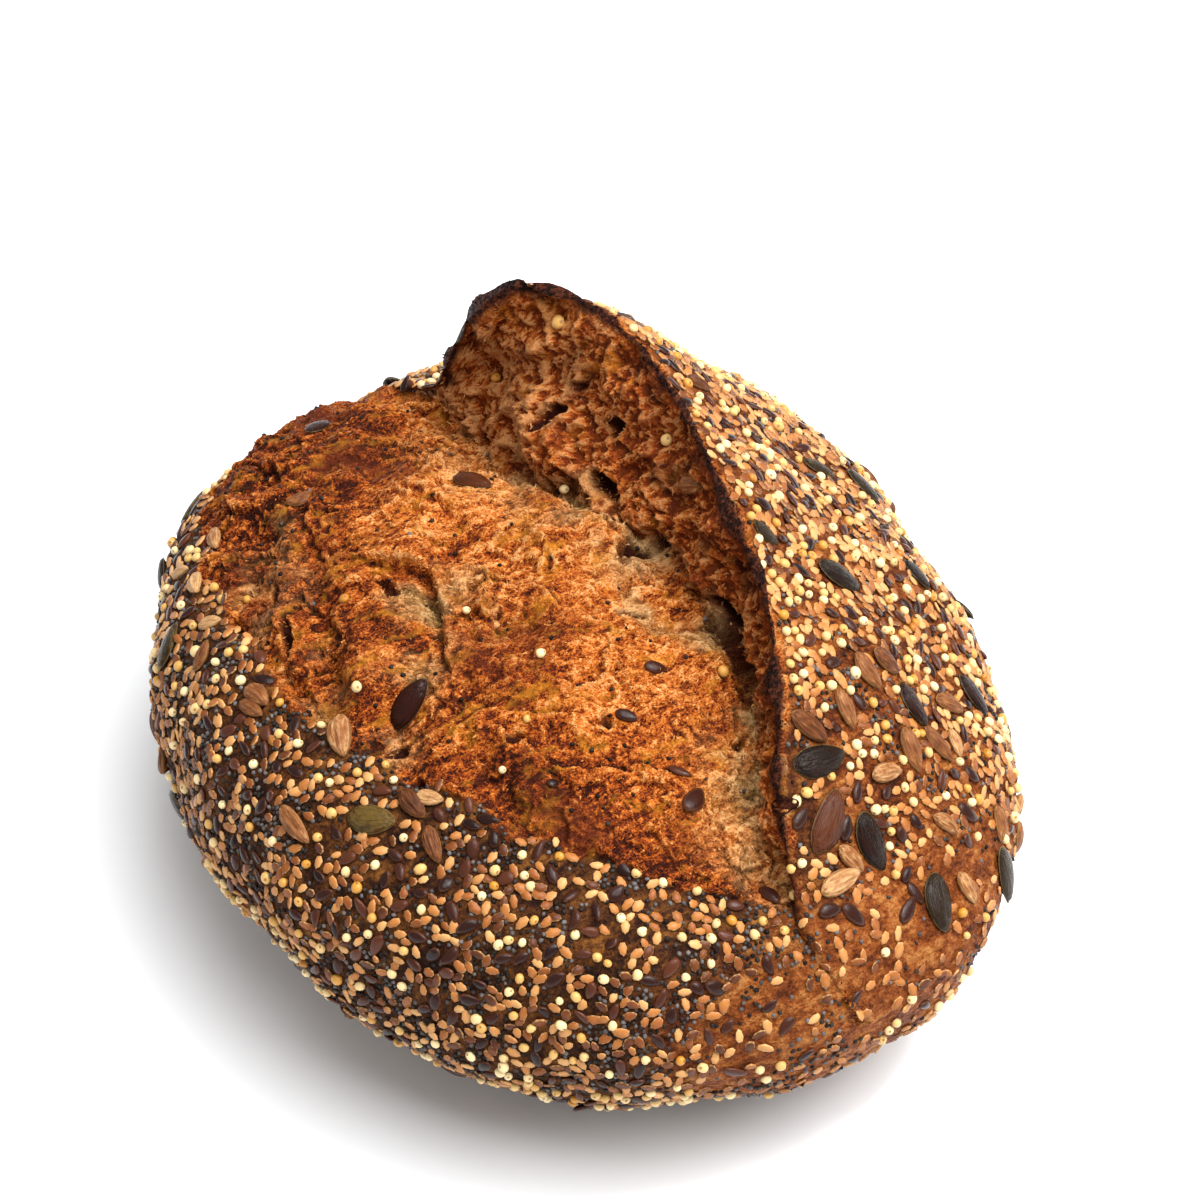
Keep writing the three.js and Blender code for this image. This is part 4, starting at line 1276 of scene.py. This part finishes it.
def makeAllSeeds(crust):
    taken = Taken()
    placed = placeSeenSeeds(crust, taken)
    areas = seedAreas(crust)
    for kindName, area, count, *rest in scattered:
        found = scatter(crust, taken, kindName, count, areas[area], *rest)
        placed.setdefault(kindName, []).extend(found)
    for kindName in seedKinds:
        makeSeeds(kindName, placed[kindName])


# shreds of torn crumb standing on the bloom and the ear's face

shreds = {
    "count": 12000, "length": (0.4, 1.4), "width": 0.27, "lean": 1.2, "curl": 0.35,
    "rings": ((-0.25, 1.0), (0.45, 0.75)),   # where each stands along the shred, and how wide it is
    "section": (1.5, 0.6),    # flat, not round
    "shredHighlight": (0.12, 0.25),    # painted highlight: how much more light they catch than the crumb, and how much that varies
}


def makeShreds(crust, material):
    masks = crust.masks
    weight = masks["torn"] * (0.35 + 0.65 * ramp(masks["peak"], 0.45, 0.8)) * (1 - masks["holeShade"])
    count = shreds["count"]
    at, normals, i, j = crust.draw(count, weight)
    low, high = shreds["length"]
    length = low + (high - low) * rng.random(count) ** 2.2
    heading = rng.normal(size=(count, 3))
    axes = turnedFrames(normals, heading)
    lean = shreds["lean"] * (0.5 + rng.random(count))
    direction = axes[:, :, 2] * np.cos(lean)[:, None] + axes[:, :, 0] * np.sin(lean)[:, None]
    curl = axes[:, :, 2] * (rng.normal(0, shreds["curl"], count))[:, None]
    width = shreds["width"] * (0.5 + rng.random(count)) * 0.5
    wide, thick = shreds["section"]
    across = axes[:, :, 1]
    points = []
    for along, share in shreds["rings"]:
        middle = at + direction * (along * length)[:, None] + curl * (max(along, 0) ** 2 * length)[:, None]
        for k in range(3):
            a = k * 2 * math.pi / 3
            side = across * math.cos(a) * wide + np.cross(direction, across) * math.sin(a) * thick
            points.append(middle + side * (width * share)[:, None])
    points.append(at + direction * length[:, None] + curl * length[:, None])
    points = np.stack(points, 1)
    faces = np.array([(0, 2, 1), (3, 4, 6), (4, 5, 6), (5, 3, 6)])
    sides = np.array([(0, 1, 4, 3), (1, 2, 5, 4), (2, 0, 3, 5)])
    corners = points.shape[1]
    step = np.arange(count)[:, None, None] * corners
    polygons = [(f[None] + step).reshape(-1, f.shape[1]) for f in (faces, sides)]
    attributes = {key: np.repeat(value[i, j], corners) for key, value in masks.items()}
    # the shreds are painted lighter as highlight, through their peak
    shredHighlight = np.repeat(rng.normal(*shreds["shredHighlight"], count), corners)
    attributes["peak"] = np.clip(attributes["peak"] + shredHighlight, 0, 1.1)
    attributes["holeShade"][:] = 0
    piece = meshObject("crumbShreds", points.reshape(-1, 3), polygons, attributes, smooth=False)
    finishPiece(piece, material, "torn_crumb")
    print("crumbShreds", count)


# floor and light

studio = {
    "floorColour": "#f1f3f5", "floorSize": 6000, "world": 0.57, "middle": (0, 0, 50),
    "lights": {
        # azimuth round the loaf in degrees from the camera's right hand, elevation, distance, side and watts
        "key": {"round": -15, "elevation": 69, "distance": 1300, "side": 1450, "watts": 42},
        "lamp": {"round": -10, "elevation": 66, "distance": 1300, "side": 220, "watts": 7},
    },
}


def makeStudio():
    size = studio["floorSize"] / 2
    corners = np.array([(-size, -size, 0), (size, -size, 0), (size, size, 0), (-size, size, 0)], float)
    floor = meshObject("floor", corners, [np.array([[0, 1, 2, 3]])])
    material, tree = newMaterial("whitePaper")
    paper = addNode(tree, "BsdfPrincipled", {"Base Color": linear(studio["floorColour"]), "Roughness": 0.9})
    addNode(tree, "OutputMaterial", {"Surface": paper})
    floor.data.materials.append(material)
    world = bpy.data.worlds.new("studio")
    world.use_nodes = True
    sky = world.node_tree.nodes["Background"].inputs
    sky["Color"].default_value = (1, 1, 1, 1)
    sky["Strength"].default_value = studio["world"]
    bpy.context.scene.world = world
    middle = Vector(studio["middle"])
    for name, setup in studio["lights"].items():
        data = bpy.data.lights.new(name, "AREA")
        data.size = setup["side"] * mm
        data.energy = setup["watts"]
        light = bpy.data.objects.new(name, data)
        a = math.radians(cameraSetup["azimuth"] + setup["round"])
        e = math.radians(setup["elevation"])
        towards = Vector((math.cos(a) * math.cos(e), math.sin(a) * math.cos(e), math.sin(e)))
        light.location = (middle + towards * setup["distance"]) * mm
        light.rotation_euler = towards.to_track_quat("Z", "Y").to_euler()
        bpy.context.scene.collection.objects.link(light)
    bpy.context.scene.view_settings.view_transform = "Standard"


makeCamera(cameraSetup)
makeStudio()
print("camera and studio made")
bread = toastedCrumbAndCrust()
crust = makeLoaf(bread)
print("crust ready for seeds")
makeAllSeeds(crust)
makeShreds(crust, bread)
